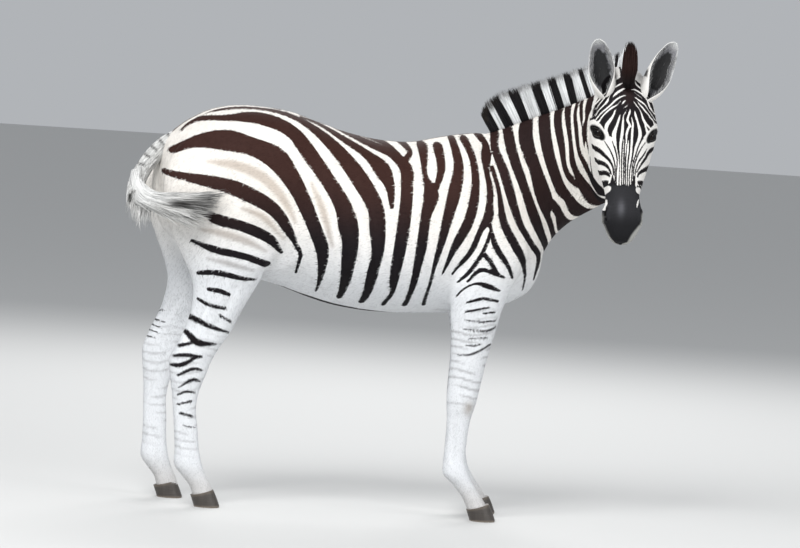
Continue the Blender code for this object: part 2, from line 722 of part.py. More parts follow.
def ear(word, root, tip):
    """A leaf that is rolled into a cup, open to the front, with a rounded tip."""
    root, tip = np.array(root), np.array(tip)
    along = (tip - root) / np.linalg.norm(tip - root)
    side = 1.0 if word == "left" else -1.0
    front = np.array([0.97, 0.25 * side, 0.0])
    front -= along * (front @ along)
    front /= np.linalg.norm(front)
    across = np.cross(front, along)
    length = np.linalg.norm(tip - root)
    rows, columns = EAR_GRID
    profile = np.array(EAR_PROFILE)
    grid = []
    for i in range(rows):
        u = i / (rows - 1)
        wide = EAR_WIDTH * np.interp(u, profile[:, 0], profile[:, 1])
        roll = EAR_ROLL_AT_TIP + (EAR_ROLL_AT_ROOT - EAR_ROLL_AT_TIP) * (1 - u) ** 1.5
        radius = wide / (2 * math.sin(min(roll, math.pi / 2)))
        row = []
        for j in range(columns):
            v = 2 * j / (columns - 1) - 1
            out = radius * math.sin(roll * v)
            fore = radius * (1 - math.cos(roll * v)) - 0.35 * wide
            row.append(root + along * length * u + across * out + front * fore)
        grid.append(row)
    mesh = bpy.data.meshes.new("ear_" + word)
    bm = bmesh.new()
    verts = [[bm.verts.new(p) for p in on_head(np.array(row))] for row in grid]
    for i in range(rows - 1):
        for j in range(columns - 1):
            bm.faces.new((verts[i][j], verts[i][j + 1], verts[i + 1][j + 1], verts[i + 1][j]))
    bm.to_mesh(mesh)
    bm.free()
    obj = bpy.data.objects.new("ear_" + word, mesh)
    bpy.context.scene.collection.objects.link(obj)
    shell = obj.modifiers.new("thickness", "SOLIDIFY")
    shell.thickness = EAR_THICKNESS
    shell.offset = 0.0
    obj.data = evaluated_mesh(obj)
    obj.modifiers.clear()
    return obj


def crest_line(count):
    """Points along the crest from the mane's rear end to the poll, before posing, and the outward way."""
    rows = between([(row[0], row[1]) for row in NECK], 400)
    top = rows[(rows[:, 0] > MANE_START)]
    end = np.array([HEAD_POLL[0] + 0.004, HEAD_POLL[1] - 0.004])
    top = np.concatenate([top[top[:, 0] < 0.845], end[None]])
    step = np.linalg.norm(np.diff(top, axis=0), axis=1)
    at = np.concatenate([[0.0], np.cumsum(step)])
    t = np.linspace(0, at[-1], count)
    line = np.stack([np.interp(t, at, top[:, k]) for k in range(2)], axis=1)
    way = np.gradient(line, axis=0)
    way /= np.linalg.norm(way, axis=1)[:, None]
    return line, np.stack([-way[:, 1], way[:, 0]], axis=1)


def mane():
    """The standing mane: a tapered brush along the crest, its foot sunk in the neck."""
    rows = np.array(MANE)
    line, out = crest_line(201)
    share = np.linspace(0.0, 1.0, len(line))
    rings = []
    for t in np.linspace(0.0, 1.0, 22):
        foot = np.array([np.interp(t, share, line[:, k]) for k in range(2)])
        way = np.array([np.interp(t, share, out[:, k]) for k in range(2)])
        way = way * 0.90 + np.array([-0.10, 0.10])
        high = np.interp(t, rows[:, 0], rows[:, 1])
        half = np.interp(t, rows[:, 0], rows[:, 2])
        ring = []
        for up, wide in MANE_SECTION:
            spot = foot + way * high * up
            ring.append((spot[0], wide * half, spot[1]))
        for up, wide in MANE_SECTION[::-1]:
            spot = foot + way * high * up
            ring.append((spot[0], -wide * half, spot[1]))
        rings.append(posed(np.array(ring)))
    return loft("mane", rings)


def mane_parts(neck):
    """The mane cut at the neck's surface and then across into three."""
    brush = seat(mane(), neck)
    cut_all(brush, [neck_cut(share, "cut_mane", 0.80) for share in MANE_CUTS])
    parts = bodies_of(brush)[: len(MANE_PARTS)]
    parts.sort(key=lambda obj: middle_of(obj)[0] - middle_of(obj)[1])
    for name, obj in zip(MANE_PARTS, parts):
        obj.name = name
    return parts


def forelock():
    """The mane's front tuft: a spindle of hair that stands on the poll between the ears."""
    rings = []
    base = np.array([HEAD_POLL[0] + 0.030, 0.0, HEAD_POLL[1] - 0.055])
    for u, half in FORELOCK:
        spot = base + np.array([0.012 * math.sin(math.pi * u), 0.0, FORELOCK_HEIGHT * u])
        turn = np.linspace(0, 2 * math.pi, 10, endpoint=False)
        ring = spot + np.stack([0.9 * half * np.cos(turn), half * np.sin(turn), 0 * turn], axis=1)
        rings.append(on_head(ring))
    return loft("forelock", rings)


def tail_parts(hindquarters):
    """The tail as a tapered tube, rooted in the rump and cut across where the dock ends."""
    path = between(TAIL, TAIL_RINGS)
    centre = path[:, :3] + np.array(ORIGIN_SHIFT)
    way = np.gradient(centre, axis=0)
    way /= np.linalg.norm(way, axis=1)[:, None]
    rings, frames = [], []
    side = np.array([0.0, 1.0, 0.0])
    for spot, along, radius in zip(centre, way, path[:, 3]):
        side = side - along * (side @ along)
        side /= np.linalg.norm(side)
        up = np.cross(side, along)
        turn = np.linspace(0, 2 * math.pi, 10, endpoint=False)
        rings.append(spot + radius * (np.outer(np.cos(turn), side) + np.outer(np.sin(turn), up)))
        frames.append((side, up, along))
    tail = seat(loft("tail", rings), [hindquarters])
    cut_all(tail, [box("cut_tail", centre[TAIL_CUT], frames[TAIL_CUT], (0.09, 0.09, GAP))])
    parts = bodies_of(tail)
    parts.sort(key=lambda obj: -middle_of(obj)[2])
    for name, obj in zip(("tail_dock", "tail_switch"), parts):
        obj.name = name
    return parts


def hoof(name, spot):
    """A hoof: a flat sole, walls that slope in to the coronet, which rises to the toe."""
    turn = np.linspace(0, 2 * math.pi, 16, endpoint=False)
    cos, sin = np.cos(turn), np.sin(turn)
    across = np.sign(sin) * np.abs(sin) ** 0.9
    rings = []
    for u, shrink, back in ((0.0, 0.97, 0.0), (0.10, 1.0, 0.0), (0.55, 0.94, 0.5), (1.0, 0.86, 1.0)):
        half_x, half_y = HOOF_HALF_LENGTH * shrink, HOOF_HALF_WIDTH * shrink
        x = spot[0] + 0.002 + half_x * cos - 0.018 * back
        y = spot[1] + half_y * across
        top = CORONET_HEIGHT - 2 * GAP + CORONET_SLOPE * (x - spot[0])
        rings.append(np.stack([x, y, u * top], axis=1))
    return loft(name, rings)


# ---------------------------------------------------------------- the animal


def finish(obj, colour, group):
    mat = bpy.data.materials.new(obj.name)
    mat.use_nodes = True
    shader = mat.node_tree.nodes["Principled BSDF"]
    shader.inputs["Base Color"].default_value = (*colour[:3], 1.0)
    shader.inputs["Roughness"].default_value = colour[3]
    shader.inputs["Metallic"].default_value = 0.0
    obj.data.materials.clear()
    obj.data.materials.append(mat)
    obj.data.shade_smooth()
    obj.data.set_sharp_from_angle(angle=math.radians(50.0))
    bpy.context.scene.collection.objects.unlink(obj)
    group.objects.link(obj)


def main():
    for obj in list(bpy.data.objects):
        bpy.data.objects.remove(obj, do_unlink=True)
    zebra = bpy.data.collections.new("zebra")
    bpy.context.scene.collection.children.link(zebra)

    flesh = flesh_form()
    sockets = []
    down, across, deep = EYE_PLACE
    for side, word in ((-1, "right"), (1, "left")):
        centre = on_head(head_point(down, side * across, deep)[None])[0]
        finish(ball("eye_" + word, centre, EYE_RADIUS, 12), EYE_DARK, zebra)
        sockets.append(ball("socket", centre, EYE_RADIUS + 3 * GAP, 12))
    cuts = [
        neck_cut(0.0, "cut_neck_base", 0.9),
        neck_cut(0.52, "cut_neck_middle", 0.6),
        neck_cut(1.0, "cut_head", 0.62),
        head_cut(0.385, "cut_muzzle", 0.3),
        trunk_cut(0.085, "cut_fore"),
        trunk_cut(-0.405, "cut_hind"),
    ]
    pieces = parted(cut_all(flesh, cuts + leg_cuts() + foot_cuts() + sockets))
    neck = [pieces[name] for name in ("head", "neck_upper", "neck_lower", "forequarters")]

    for word, tip in EAR_TIPS.items():
        side = 1 if word == "left" else -1
        root = (EAR_ROOT[0], side * EAR_ROOT[1], EAR_ROOT[2])
        finish(seat(ear(word, root, tip), neck[:2]), HAIR_WHITE, zebra)
    for obj in mane_parts(neck):
        finish(obj, DARK_COAT, zebra)
    finish(seat(forelock(), neck[:1]), DARK_COAT, zebra)
    for obj in tail_parts(pieces["hindquarters"]):
        finish(obj, HAIR_WHITE, zebra)
    for name, spot in foot_places():
        finish(hoof("hoof_" + name, spot), HORN, zebra)
    for name, obj in pieces.items():
        finish(obj, MUZZLE_COAT if name == "muzzle" else WHITE_COAT, zebra)


main()
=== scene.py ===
"""Looks of the plains zebra: one striped skin over the whole body, its coat, mane, tail, eyes, ears
and hooves. The body is built in a straight pose (facing +X), where its folds and markings are laid
out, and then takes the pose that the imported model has. Values are metres, tables are millimetres."""

import json
import math
from contextlib import contextmanager

import bmesh
import bpy
import numpy as np
from mathutils import Matrix

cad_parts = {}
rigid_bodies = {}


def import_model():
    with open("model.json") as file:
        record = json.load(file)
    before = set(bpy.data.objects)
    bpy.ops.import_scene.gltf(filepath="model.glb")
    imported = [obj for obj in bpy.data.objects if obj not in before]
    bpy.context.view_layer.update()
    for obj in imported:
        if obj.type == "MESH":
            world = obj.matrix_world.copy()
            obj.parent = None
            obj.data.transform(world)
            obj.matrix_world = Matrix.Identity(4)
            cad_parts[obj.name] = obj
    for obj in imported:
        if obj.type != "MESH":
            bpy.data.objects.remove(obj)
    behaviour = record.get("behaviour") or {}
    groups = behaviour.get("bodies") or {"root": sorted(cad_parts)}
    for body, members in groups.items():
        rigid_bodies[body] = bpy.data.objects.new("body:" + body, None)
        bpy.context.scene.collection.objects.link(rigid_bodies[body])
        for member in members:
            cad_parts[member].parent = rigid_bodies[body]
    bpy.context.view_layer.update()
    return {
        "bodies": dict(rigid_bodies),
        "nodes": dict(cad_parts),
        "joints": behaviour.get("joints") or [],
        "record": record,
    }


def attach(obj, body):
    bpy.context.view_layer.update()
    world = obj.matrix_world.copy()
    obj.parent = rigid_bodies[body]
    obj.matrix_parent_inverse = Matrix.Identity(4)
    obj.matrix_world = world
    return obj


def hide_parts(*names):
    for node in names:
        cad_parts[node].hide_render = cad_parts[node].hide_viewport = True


MILLIMETRE = 0.001
ORIGIN_SHIFT = np.array((0.0546, 0.1187, 0.0))  # brings the model's box to the middle of the floor
VOXEL = 0.006
SKIN_ROUNDS = 41
SMOOTH_IN, SMOOTH_OUT = 0.52, -0.535  # share of the way to the neighbours' middle, in and out again
ROUND = 2.0  # a section's power: an ellipse at 2, squarer above it
# How many rings each form has, and points in each ring.
TRUNK_GRID = (90, 56)
NECK_GRID = (50, 48)
HEAD_GRID = (70, 48)
LEG_GRID = (110, 32)
EYE_GRID = (40, 48)
LID_GRID = (72, 8)
HOOF_GRID = (44, 72)

# Trunk sections: x, top z, bottom z, half width, z of the widest line, and roundness above it.
TRUNK = [(-815, 1165, 1010, 35, 1080, 2), (-800, 1196, 950, 85, 1060, 2), (-770, 1228, 890, 135, 1040, 2),
    (-720, 1266, 845, 183, 1030, 2.1), (-650, 1300, 805, 218, 1030, 2.2), (-550, 1316, 765, 236, 1020, 2.3),
    (-420, 1308, 735, 238, 990, 2.3), (-300, 1275, 695, 246, 950, 2.2), (-200, 1247, 672, 258, 920, 2.1),
    (-100, 1231, 662, 264, 900, 2.05), (0, 1230, 662, 258, 900, 2), (90, 1250, 666, 240, 910, 1.9),
    (170, 1266, 672, 215, 920, 1.8), (250, 1272, 684, 192, 930, 1.7), (320, 1245, 700, 180, 930, 1.8),
    (380, 1180, 722, 165, 930, 2), (425, 1100, 752, 142, 930, 2), (455, 1020, 800, 100, 920, 2),
    (468, 960, 860, 45, 910, 2)]

# Neck sections: crest x and z, under x and z, half width, and roundness above the widest line.
NECK = [(200, 1250, 442, 800, 165, 1.7), (285, 1285, 466, 870, 148, 1.7), (375, 1325, 499, 935, 127, 1.7),
    (470, 1365, 542, 985, 108, 1.7), (570, 1408, 597, 1034, 96, 1.7), (670, 1452, 660, 1088, 88, 1.8),
    (765, 1488, 712, 1145, 80, 1.9), (850, 1503, 758, 1205, 72, 2), (905, 1480, 805, 1255, 55, 2)]
NECK_WIDEST = 0.46  # where a section is widest, as a share of the way from under to crest

# Head sections, in the head's own frame: distance down the face from the poll, then the half
# outline from the face line round to the jaw, as pairs of half width and depth behind the face line.
HEAD_POLL = (0.922, 1.510)
HEAD_PITCH = math.radians(18.0)  # of the face line, forward of straight down
HEAD = [
    (-30, 0, 45, 30, 52, 52, 95, 54, 130, 45, 165, 0, 180),
    (0, 0, 12, 44, 26, 72, 80, 70, 130, 52, 190, 0, 210),
    (60, 0, -2, 60, 12, 92, 65, 85, 130, 58, 215, 0, 238),
    (120, 0, -9, 76, 10, 106, 58, 91, 125, 62, 220, 0, 246),
    (185, 0, -10, 80, 10, 113, 52, 91, 115, 60, 205, 0, 236),
    (240, 0, -6, 64, 12, 99, 62, 86, 110, 55, 180, 0, 212),
    (300, 0, 0, 50, 14, 85, 64, 74, 100, 47, 148, 0, 178),
    (360, 0, 4, 41, 16, 68, 60, 58, 90, 39, 122, 0, 150),
    (415, 0, 7, 38, 18, 57, 56, 51, 82, 36, 108, 0, 134),
    (455, 0, 8, 44, 20, 65, 54, 53, 80, 37, 108, 0, 132),
    (490, 0, 11, 45, 24, 66, 56, 53, 82, 38, 112, 0, 132),
    (522, 0, 19, 36, 30, 54, 58, 47, 82, 34, 108, 0, 124),
    (548, 0, 32, 24, 40, 37, 60, 34, 78, 25, 96, 0, 108),
    (560, 0, 50, 13, 54, 19, 64, 18, 74, 12, 84, 0, 90),
]

# Leg sections, top to bottom: z, x, distance from the middle, half length, half width.
FORELEG = [(1180, 180, 70, 60, 30), (1080, 218, 114, 104, 56), (960, 262, 138, 130, 66),
    (860, 272, 146, 124, 70), (775, 250, 148, 104, 66), (690, 238, 146, 86, 58), (620, 234, 143, 74, 52),
    (530, 226, 139, 60.5, 45), (450, 218, 136, 55, 41), (390, 212, 135, 50, 41), (330, 207, 134, 40, 32),
    (260, 204, 133, 36, 27), (200, 203, 132, 37, 28), (150, 210, 132, 43, 34), (115, 238, 132, 36, 30),
    (80, 266, 132, 34, 30), (30, 296, 132, 38, 35)]
HINDLEG = [(1200, -630, 95, 120, 55), (1120, -632, 122, 170, 84), (1030, -630, 138, 186, 96),
    (940, -618, 144, 182, 92), (870, -602, 145, 167, 83), (800, -593, 142, 138, 72),
    (725, -594, 135, 105.5, 62), (650, -612, 130, 85, 52), (574, -639, 127, 77, 45),
    (517, -669, 125, 71.5, 40), (475, -688, 124, 70, 38), (430, -693, 124, 60, 38),
    (370, -697.5, 124, 45, 31), (320, -696.5, 124, 39, 28), (250, -687, 124, 39.5, 28),
    (180, -679.5, 124, 41.5, 30), (130, -671, 124, 47, 36), (100, -652, 124, 42, 33),
    (70, -630, 124, 37, 32), (30, -612, 124, 38, 35)]
LEG_POWER = 2.1

# The tail, as it lies: x, y, z and radius along its middle. It swings round to the right flank.
TAIL = [(-735, 0, 1232, 34), (-790, 0, 1196, 32), (-838, -2, 1150, 29), (-873, -8, 1102, 27),
    (-893, -25, 1052, 28), (-894, -65, 1006, 33), (-886, -122, 978, 40), (-860, -190, 967, 45),
    (-806, -252, 968, 46), (-738, -286, 974, 42), (-672, -290, 984, 34), (-612, -280, 996, 21),
    (-572, -270, 1006, 6)]

# The far legs: each height, how far it stands back (or forward) of the near one and how much higher.
FAR_HIND = [(0, 100, 0), (120, 90, 0), (200, 85, 10), (360, 74, 18), (480, 67, 20), (550, 75, 16),
    (660, 68, 6), (780, 50, 0), (880, 36, 0), (1000, 36, 0), (1120, 30, 0), (1250, 0, 0)]
FAR_FORE = [(0, 40), (600, 40), (800, 24), (1000, 0)]

# The neck turns over a fan of planes through one line under the chest.
NECK_PIVOT = (0.521, 0.797)
NECK_BASE_ANGLE = math.radians(118.0)
NECK_HEAD_ANGLE = math.radians(66.6)
NECK_UNDER_ANGLE = math.radians(-62.0)  # below this lies the body
NECK_BASE_CENTRE = np.array((0.355, 1.110))
NECK_HEAD_CENTRE = np.array((0.778, 1.360))
NECK_TURN = math.radians(-91.0)
NECK_TURN_POWER = 2.6


# ---------------------------------------------------------------- numbers and curves


def metres(rows, lengths=None):
    """Rows of millimetres in metres: all their numbers, or only the first ones of each row."""
    rows = np.array(rows, float)
    rows[:, :lengths] *= MILLIMETRE
    return rows


def columns(*parts):
    """A table made of its columns."""
    return np.stack(np.broadcast_arrays(*parts), axis=-1)


def unit(v):
    """The same directions with length one."""
    v = np.asarray(v, float)
    return v / np.maximum(np.linalg.norm(v, axis=-1, keepdims=True), 1e-12)


def across_from(v, way):
    """What is left of directions when their share along unit ways is taken out."""
    return v - way * (v * way).sum(axis=-1, keepdims=True)


def ramp(value, low, high):
    """0 below low and 1 above high, smooth between. High may be under low."""
    t = np.clip((value - low) / (high - low), 0.0, 1.0)
    return t * t * (3 - 2 * t)


def hump(value, middle, width):
    """1 at the middle, falling off like a bell to either side."""
    return np.exp(-(((value - middle) / width) ** 2))


def travelled(points):
    """Distance along a line of points at each of them."""
    step = np.linalg.norm(np.diff(points, axis=0), axis=1)
    return np.concatenate([[0.0], np.cumsum(step)])


def read_off(t, at, rows):
    """Rows of numbers that are known at some places, read off at others."""
    return np.stack([np.interp(t, at, column) for column in rows.T], axis=-1)


def between(rows, count):
    """Rows of numbers made into count rows on a smooth curve through them, by their own spacing."""
    rows = np.array(rows, float)
    at = travelled(rows)
    step = np.diff(at)
    slope = np.diff(rows, axis=0) / step[:, None]
    tangent = np.empty_like(rows)
    tangent[0], tangent[-1] = slope[0], slope[-1]
    before, after = step[:-1, None], step[1:, None]
    tangent[1:-1] = (slope[:-1] * after + slope[1:] * before) / (before + after)
    t = np.linspace(0.0, at[-1], count)
    i = np.clip(np.searchsorted(at, t, side="right") - 1, 0, len(step) - 1)
    h = step[i][:, None]
    u = ((t - at[i]) / step[i])[:, None]
    return (
        (2 * u**3 - 3 * u**2 + 1) * rows[i]
        + (u**3 - 2 * u**2 + u) * h * tangent[i]
        + (3 * u**2 - 2 * u**3) * rows[i + 1]
        + (u**3 - u**2) * h * tangent[i + 1]
    )


def closed_curve(points, count):
    """A smooth closed curve through a ring of points whose last repeats its first."""
    wrapped = np.concatenate([points[-3:-1], points, points[1:3]])
    dense = between(wrapped, 40 * len(wrapped))
    along = travelled(wrapped)
    at = np.linspace(0.0, along[-1], len(dense))
    wanted = np.linspace(along[2], along[-3], count, endpoint=False)
    return read_off(wanted, at, dense)


def circle(count):
    return np.linspace(0.0, 2 * math.pi, count, endpoint=False)


def power_ring(above, below, sides):
    """A unit section as (across, up) pairs, rounder or squarer above and below the widest line."""
    t = circle(sides)
    power = np.where(np.sin(t) >= 0, above, below)
    across = np.sign(np.cos(t)) * np.abs(np.cos(t)) ** (2 / power)
    up = np.sign(np.sin(t)) * np.abs(np.sin(t)) ** (2 / power)
    return across, up


# ---------------------------------------------------------------- meshes


@contextmanager
def edited(mesh):
    """The mesh opened for editing, and written back at the end."""
    bm = bmesh.new()
    bm.from_mesh(mesh)
    yield bm
    bm.to_mesh(mesh)
    bm.free()


def linked(name, mesh):
    obj = bpy.data.objects.new(name, mesh)
    bpy.context.scene.collection.objects.link(obj)
    return obj


def turn_outward(mesh, weld=0.0):
    """Turns all faces of a closed mesh outward, after joining points closer than weld."""
    with edited(mesh) as bm:
        if weld:
            bmesh.ops.remove_doubles(bm, verts=bm.verts, dist=weld)
        bmesh.ops.recalc_face_normals(bm, faces=bm.faces)


def loft(name, rings):
    """One closed mesh through rings of points, with both ends capped."""
    mesh = bpy.data.meshes.new(name)
    with edited(mesh) as bm:
        rows = [[bm.verts.new(p) for p in ring] for ring in rings]
        for low, high in zip(rows, rows[1:]):
            for j in range(len(low)):
                k = (j + 1) % len(low)
                bm.faces.new((low[j], low[k], high[k], high[j]))
        bm.faces.new(reversed(rows[0]))
        bm.faces.new(rows[-1])
    turn_outward(mesh)
    return linked(name, mesh)


def numbers(items, word, width=3, kind=float):
    """One property of all the items as a table."""
    flat = np.empty(width * len(items), kind)
    items.foreach_get(word, flat)
    return flat.reshape(-1, width) if width > 1 else flat


def points_of(mesh):
    return numbers(mesh.vertices, "co")


def face_middles(mesh):
    return numbers(mesh.polygons, "center")


def set_points(mesh, points):
    mesh.vertices.foreach_set("co", points.ravel())
    mesh.update()


def store(mesh, values):
    """Keeps named values on the points of a mesh."""
    for word, value in values.items():
        attribute = mesh.attributes.new(word, "FLOAT", "POINT")
        value = np.broadcast_to(np.asarray(value, np.float32), len(mesh.vertices))
        attribute.data.foreach_set("value", np.ascontiguousarray(value))


def store_map(mesh, uv):
    layer = mesh.uv_layers.new(name="OFBake")
    layer.data.foreach_set("uv", np.asarray(uv, np.float32).ravel())


def new_mesh(name, points, faces, values=None, uv=None):
    """An object from arrays, with a named value for each point and one map for each corner."""
    mesh = bpy.data.meshes.new(name)
    points = points.reshape(-1, 3)
    mesh.vertices.add(len(points))
    mesh.vertices.foreach_set("co", np.asarray(points, np.float32).ravel())
    faces = np.asarray(faces, np.int32)
    mesh.loops.add(faces.size)
    mesh.loops.foreach_set("vertex_index", faces.ravel())
    mesh.polygons.add(len(faces))
    starts = np.arange(0, faces.size, faces.shape[1], dtype=np.int32)
    mesh.polygons.foreach_set("loop_start", starts)
    mesh.update(calc_edges=True)
    store(mesh, values or {})
    if uv is not None:
        store_map(mesh, uv)
    mesh.shade_smooth()
    return linked(name, mesh)


def grid_faces(rows, width, wrap=(0, 0)):
    """The four-sided faces of a grid of points, closed along its rows or columns by wrap."""
    index = np.arange(rows * width).reshape(rows, width)
    index = np.pad(index, ((0, wrap[0]), (0, wrap[1])), mode="wrap")
    corners = [index[:-1, :-1], index[1:, :-1], index[1:, 1:], index[:-1, 1:]]
    return np.stack(corners, axis=-1).reshape(-1, 4)


# ---------------------------------------------------------------- the flesh in its straight pose


def trunk_loft():
    rings = []
    for x, top, bottom, half, wide, power in between(metres(TRUNK, 5), TRUNK_GRID[0]):
        across, up = power_ring(power, ROUND, TRUNK_GRID[1])
        z = wide + up * np.where(up >= 0, top - wide, wide - bottom)
        rings.append(columns(x, across * half, z))
    return loft("trunk_form", rings)


def neck_loft():
    rings = []
    for row in between(metres(NECK, 5), NECK_GRID[0]):
        crest_x, crest_z, under_x, under_z, half, power = row
        across, up = power_ring(power, ROUND, NECK_GRID[1])
        share = NECK_WIDEST + up * np.where(up >= 0, 1 - NECK_WIDEST, NECK_WIDEST)
        x, z = under_x + (crest_x - under_x) * share, under_z + (crest_z - under_z) * share
        rings.append(columns(x, across * half, z))
    return loft("neck_form", rings)


def head_point(down, across, deep):
    """A point of the head's own frame in the model's frame, before posing."""
    along_x, along_z = math.sin(HEAD_PITCH), -math.cos(HEAD_PITCH)
    x = HEAD_POLL[0] + down * along_x + deep * along_z
    z = HEAD_POLL[1] + down * along_z - deep * along_x
    return columns(x, across, z)


def head_way(down, across, deep):
    """A direction of the head's own frame in the model's frame, before posing."""
    return head_point(down, across, deep) - head_point(0.0, 0.0, 0.0)


def head_frame(points):
    """Down the face, across and behind the face line, for points before posing."""
    along_x, along_z = math.sin(HEAD_PITCH), -math.cos(HEAD_PITCH)
    x, z = points[:, 0] - HEAD_POLL[0], points[:, 2] - HEAD_POLL[1]
    return x * along_x + z * along_z, points[:, 1], x * along_z - z * along_x


def head_loft():
    rings = []
    for down, *outline in between(metres(HEAD), HEAD_GRID[0]):
        right = np.reshape(outline, (-1, 2))
        left = right[-2:0:-1] * (-1, 1)
        ring = closed_curve(np.concatenate([right, left, right[:1]]), HEAD_GRID[1])
        rings.append(head_point(down, *ring.T))
    return loft("head_form", rings)


def leg_loft(name, rows, side):
    rings = []
    for z, x, off, half_x, half_y in between(metres(rows), LEG_GRID[0]):
        across, up = power_ring(LEG_POWER, LEG_POWER, LEG_GRID[1])
        rings.append(columns(x + across * half_x, side * off + up * half_y, z))
    return loft(name, rings)


def merged(name, forms):
    """One closed form made of overlapping ones."""
    obj = linked(name, bpy.data.meshes.new(name))
    with edited(obj.data) as bm:
        for form in forms:
            bm.from_mesh(form.data)
            bpy.data.objects.remove(form, do_unlink=True)
    remesh = obj.modifiers.new("one_form", "REMESH")
    remesh.mode = "VOXEL"
    remesh.voxel_size = VOXEL
    graph = bpy.context.evaluated_depsgraph_get()
    obj.data = bpy.data.meshes.new_from_object(obj.evaluated_get(graph))
    obj.modifiers.clear()
    return obj


def softness(points):
    """How much of the smoothing each point takes: all on the trunk, little on legs and head."""
    x, z = points[:, 0], points[:, 2]
    legs = ramp(z, 0.52, 0.72)
    head = ramp(x + 0.6 * (z - 1.3), 0.80, 0.66)
    return 0.10 + 0.90 * legs * head


def smooth(mesh, share, rounds):
    """Smoothing that keeps volume: each round draws points in, then lets them out again."""
    ends = numbers(mesh.edges, "vertices", 2, int)
    here, there = np.concatenate([ends, ends[:, ::-1]]).T
    points = points_of(mesh)
    count = len(points)
    degree = np.bincount(here, minlength=count)
    for push in (SMOOTH_IN, SMOOTH_OUT) * rounds:
        mean = columns(*(np.bincount(here, points[there, k], count) / degree for k in range(3)))
        points = points + push * share[:, None] * (mean - points)
    set_points(mesh, points)


def smooth_head(mesh, rounds):
    smooth(mesh, 1.0 * on_the_head(points_of(mesh), 0.12), rounds)


def on_the_head(points, margin=0.0):
    """True for the points of the head and the muzzle, before posing."""
    angle = np.arctan2(points[:, 2] - NECK_PIVOT[1], points[:, 0] - NECK_PIVOT[0])
    ahead = (angle < NECK_HEAD_ANGLE + margin) & (angle > NECK_UNDER_ANGLE)
    return ahead & (points[:, 0] > 0.60) & (points[:, 2] > 0.85)


def finer(mesh, chosen):
    """Divides the chosen faces of a mesh in four."""
    with edited(mesh) as bm:
        bm.faces.ensure_lookup_table()
        edges = {edge for k in np.flatnonzero(chosen) for edge in bm.faces[k].edges}
        bmesh.ops.subdivide_edges(bm, edges=list(edges), cuts=1, use_grid_fill=True)


def straight_body():
    """The whole flesh in its straight pose, finest round the eyes, nostrils and mouth."""
    forms = [trunk_loft(), neck_loft(), head_loft()]
    for side in (-1, 1):
        forms.append(leg_loft("fore_form", FORELEG, side))
        forms.append(leg_loft("hind_form", HINDLEG, side))
    body = merged("skin", forms)
    mesh = body.data
    smooth(mesh, softness(points_of(mesh)), SKIN_ROUNDS)
    finer(mesh, on_the_head(face_middles(mesh), 0.10))
    smooth_head(mesh, 4)
    middles = face_middles(mesh)
    down, across, deep = head_frame(middles)
    eye = np.linalg.norm(columns(down, np.abs(across), deep) - EYE_PLACE, axis=1) < 0.048
    nose = on_the_head(middles) & (down > 0.425)
    finer(mesh, eye | nose)
    smooth_head(mesh, 2)
    return body


# ---------------------------------------------------------------- the pose


def set_back(points):
    """The far legs in their own places: the hind one back, the front one forward."""
    x, y, z = points.T
    far = ramp(y, -0.03, 0.10)
    hind = far * ramp(x, -0.30, -0.45)
    fore = far * ramp(x, 0.02, 0.14)
    height, back, lift = metres(FAR_HIND).T
    forward = np.interp(z, *metres(FAR_FORE).T)
    along = x - hind * np.interp(z, height, back) + fore * forward
    return columns(along, y, z + hind * np.interp(z, height, lift))


def neck_path():
    """Along the neck's middle line: its share of the way, straight place, turn and turned place."""
    share = np.linspace(0.0, 1.0, 241)
    angle = NECK_BASE_ANGLE + (NECK_HEAD_ANGLE - NECK_BASE_ANGLE) * share
    ray = columns(np.cos(angle), np.sin(angle))
    line = NECK_HEAD_CENTRE - NECK_BASE_CENTRE
    gap = NECK_BASE_CENTRE - NECK_PIVOT
    cross = ray[:, 0] * line[1] - ray[:, 1] * line[0]
    along = (gap[0] * ray[:, 1] - gap[1] * ray[:, 0]) / cross
    middle = NECK_BASE_CENTRE + along[:, None] * line
    straight = columns(middle[:, 0], 0.0, middle[:, 1])
    turn = NECK_TURN * share**NECK_TURN_POWER
    moved = spun(np.diff(straight, axis=0), (turn[1:] + turn[:-1]) / 2)
    turned = np.concatenate([straight[:1], straight[0] + np.cumsum(moved, axis=0)])
    return share, straight, turn, turned


def spun(off, turn):
    """Points turned about the upright through the origin."""
    x, y, z = off[..., 0], off[..., 1], off[..., 2]
    return columns(x * np.cos(turn) - y * np.sin(turn), x * np.sin(turn) + y * np.cos(turn), z)


def turn_neck(points):
    share, straight, turn, turned = neck_path()
    x, _, z = points.T
    angle = np.arctan2(z - NECK_PIVOT[1], x - NECK_PIVOT[0])
    angle = np.where(angle < NECK_UNDER_ANGLE, angle + 2 * math.pi, angle)
    s = np.clip((NECK_BASE_ANGLE - angle) / (NECK_BASE_ANGLE - NECK_HEAD_ANGLE), 0.0, 1.0)
    s = np.where(x < NECK_PIVOT[0] - 0.4, 0.0, s)
    off = points - read_off(s, share, straight)
    return read_off(s, share, turned) + spun(off, np.interp(s, share, turn))


def posed(points):
    """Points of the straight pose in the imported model's pose, for any shape of table."""
    flat = points.reshape(-1, 3)
    return (turn_neck(set_back(flat)) + ORIGIN_SHIFT).reshape(points.shape)


def on_head(points):
    """The turned neck's whole turn, for what is fixed to the head."""
    _, straight, turn, turned = neck_path()
    return turned[-1] + spun(points - straight[-1], turn[-1]) + ORIGIN_SHIFT


# ---------------------------------------------------------------- markings

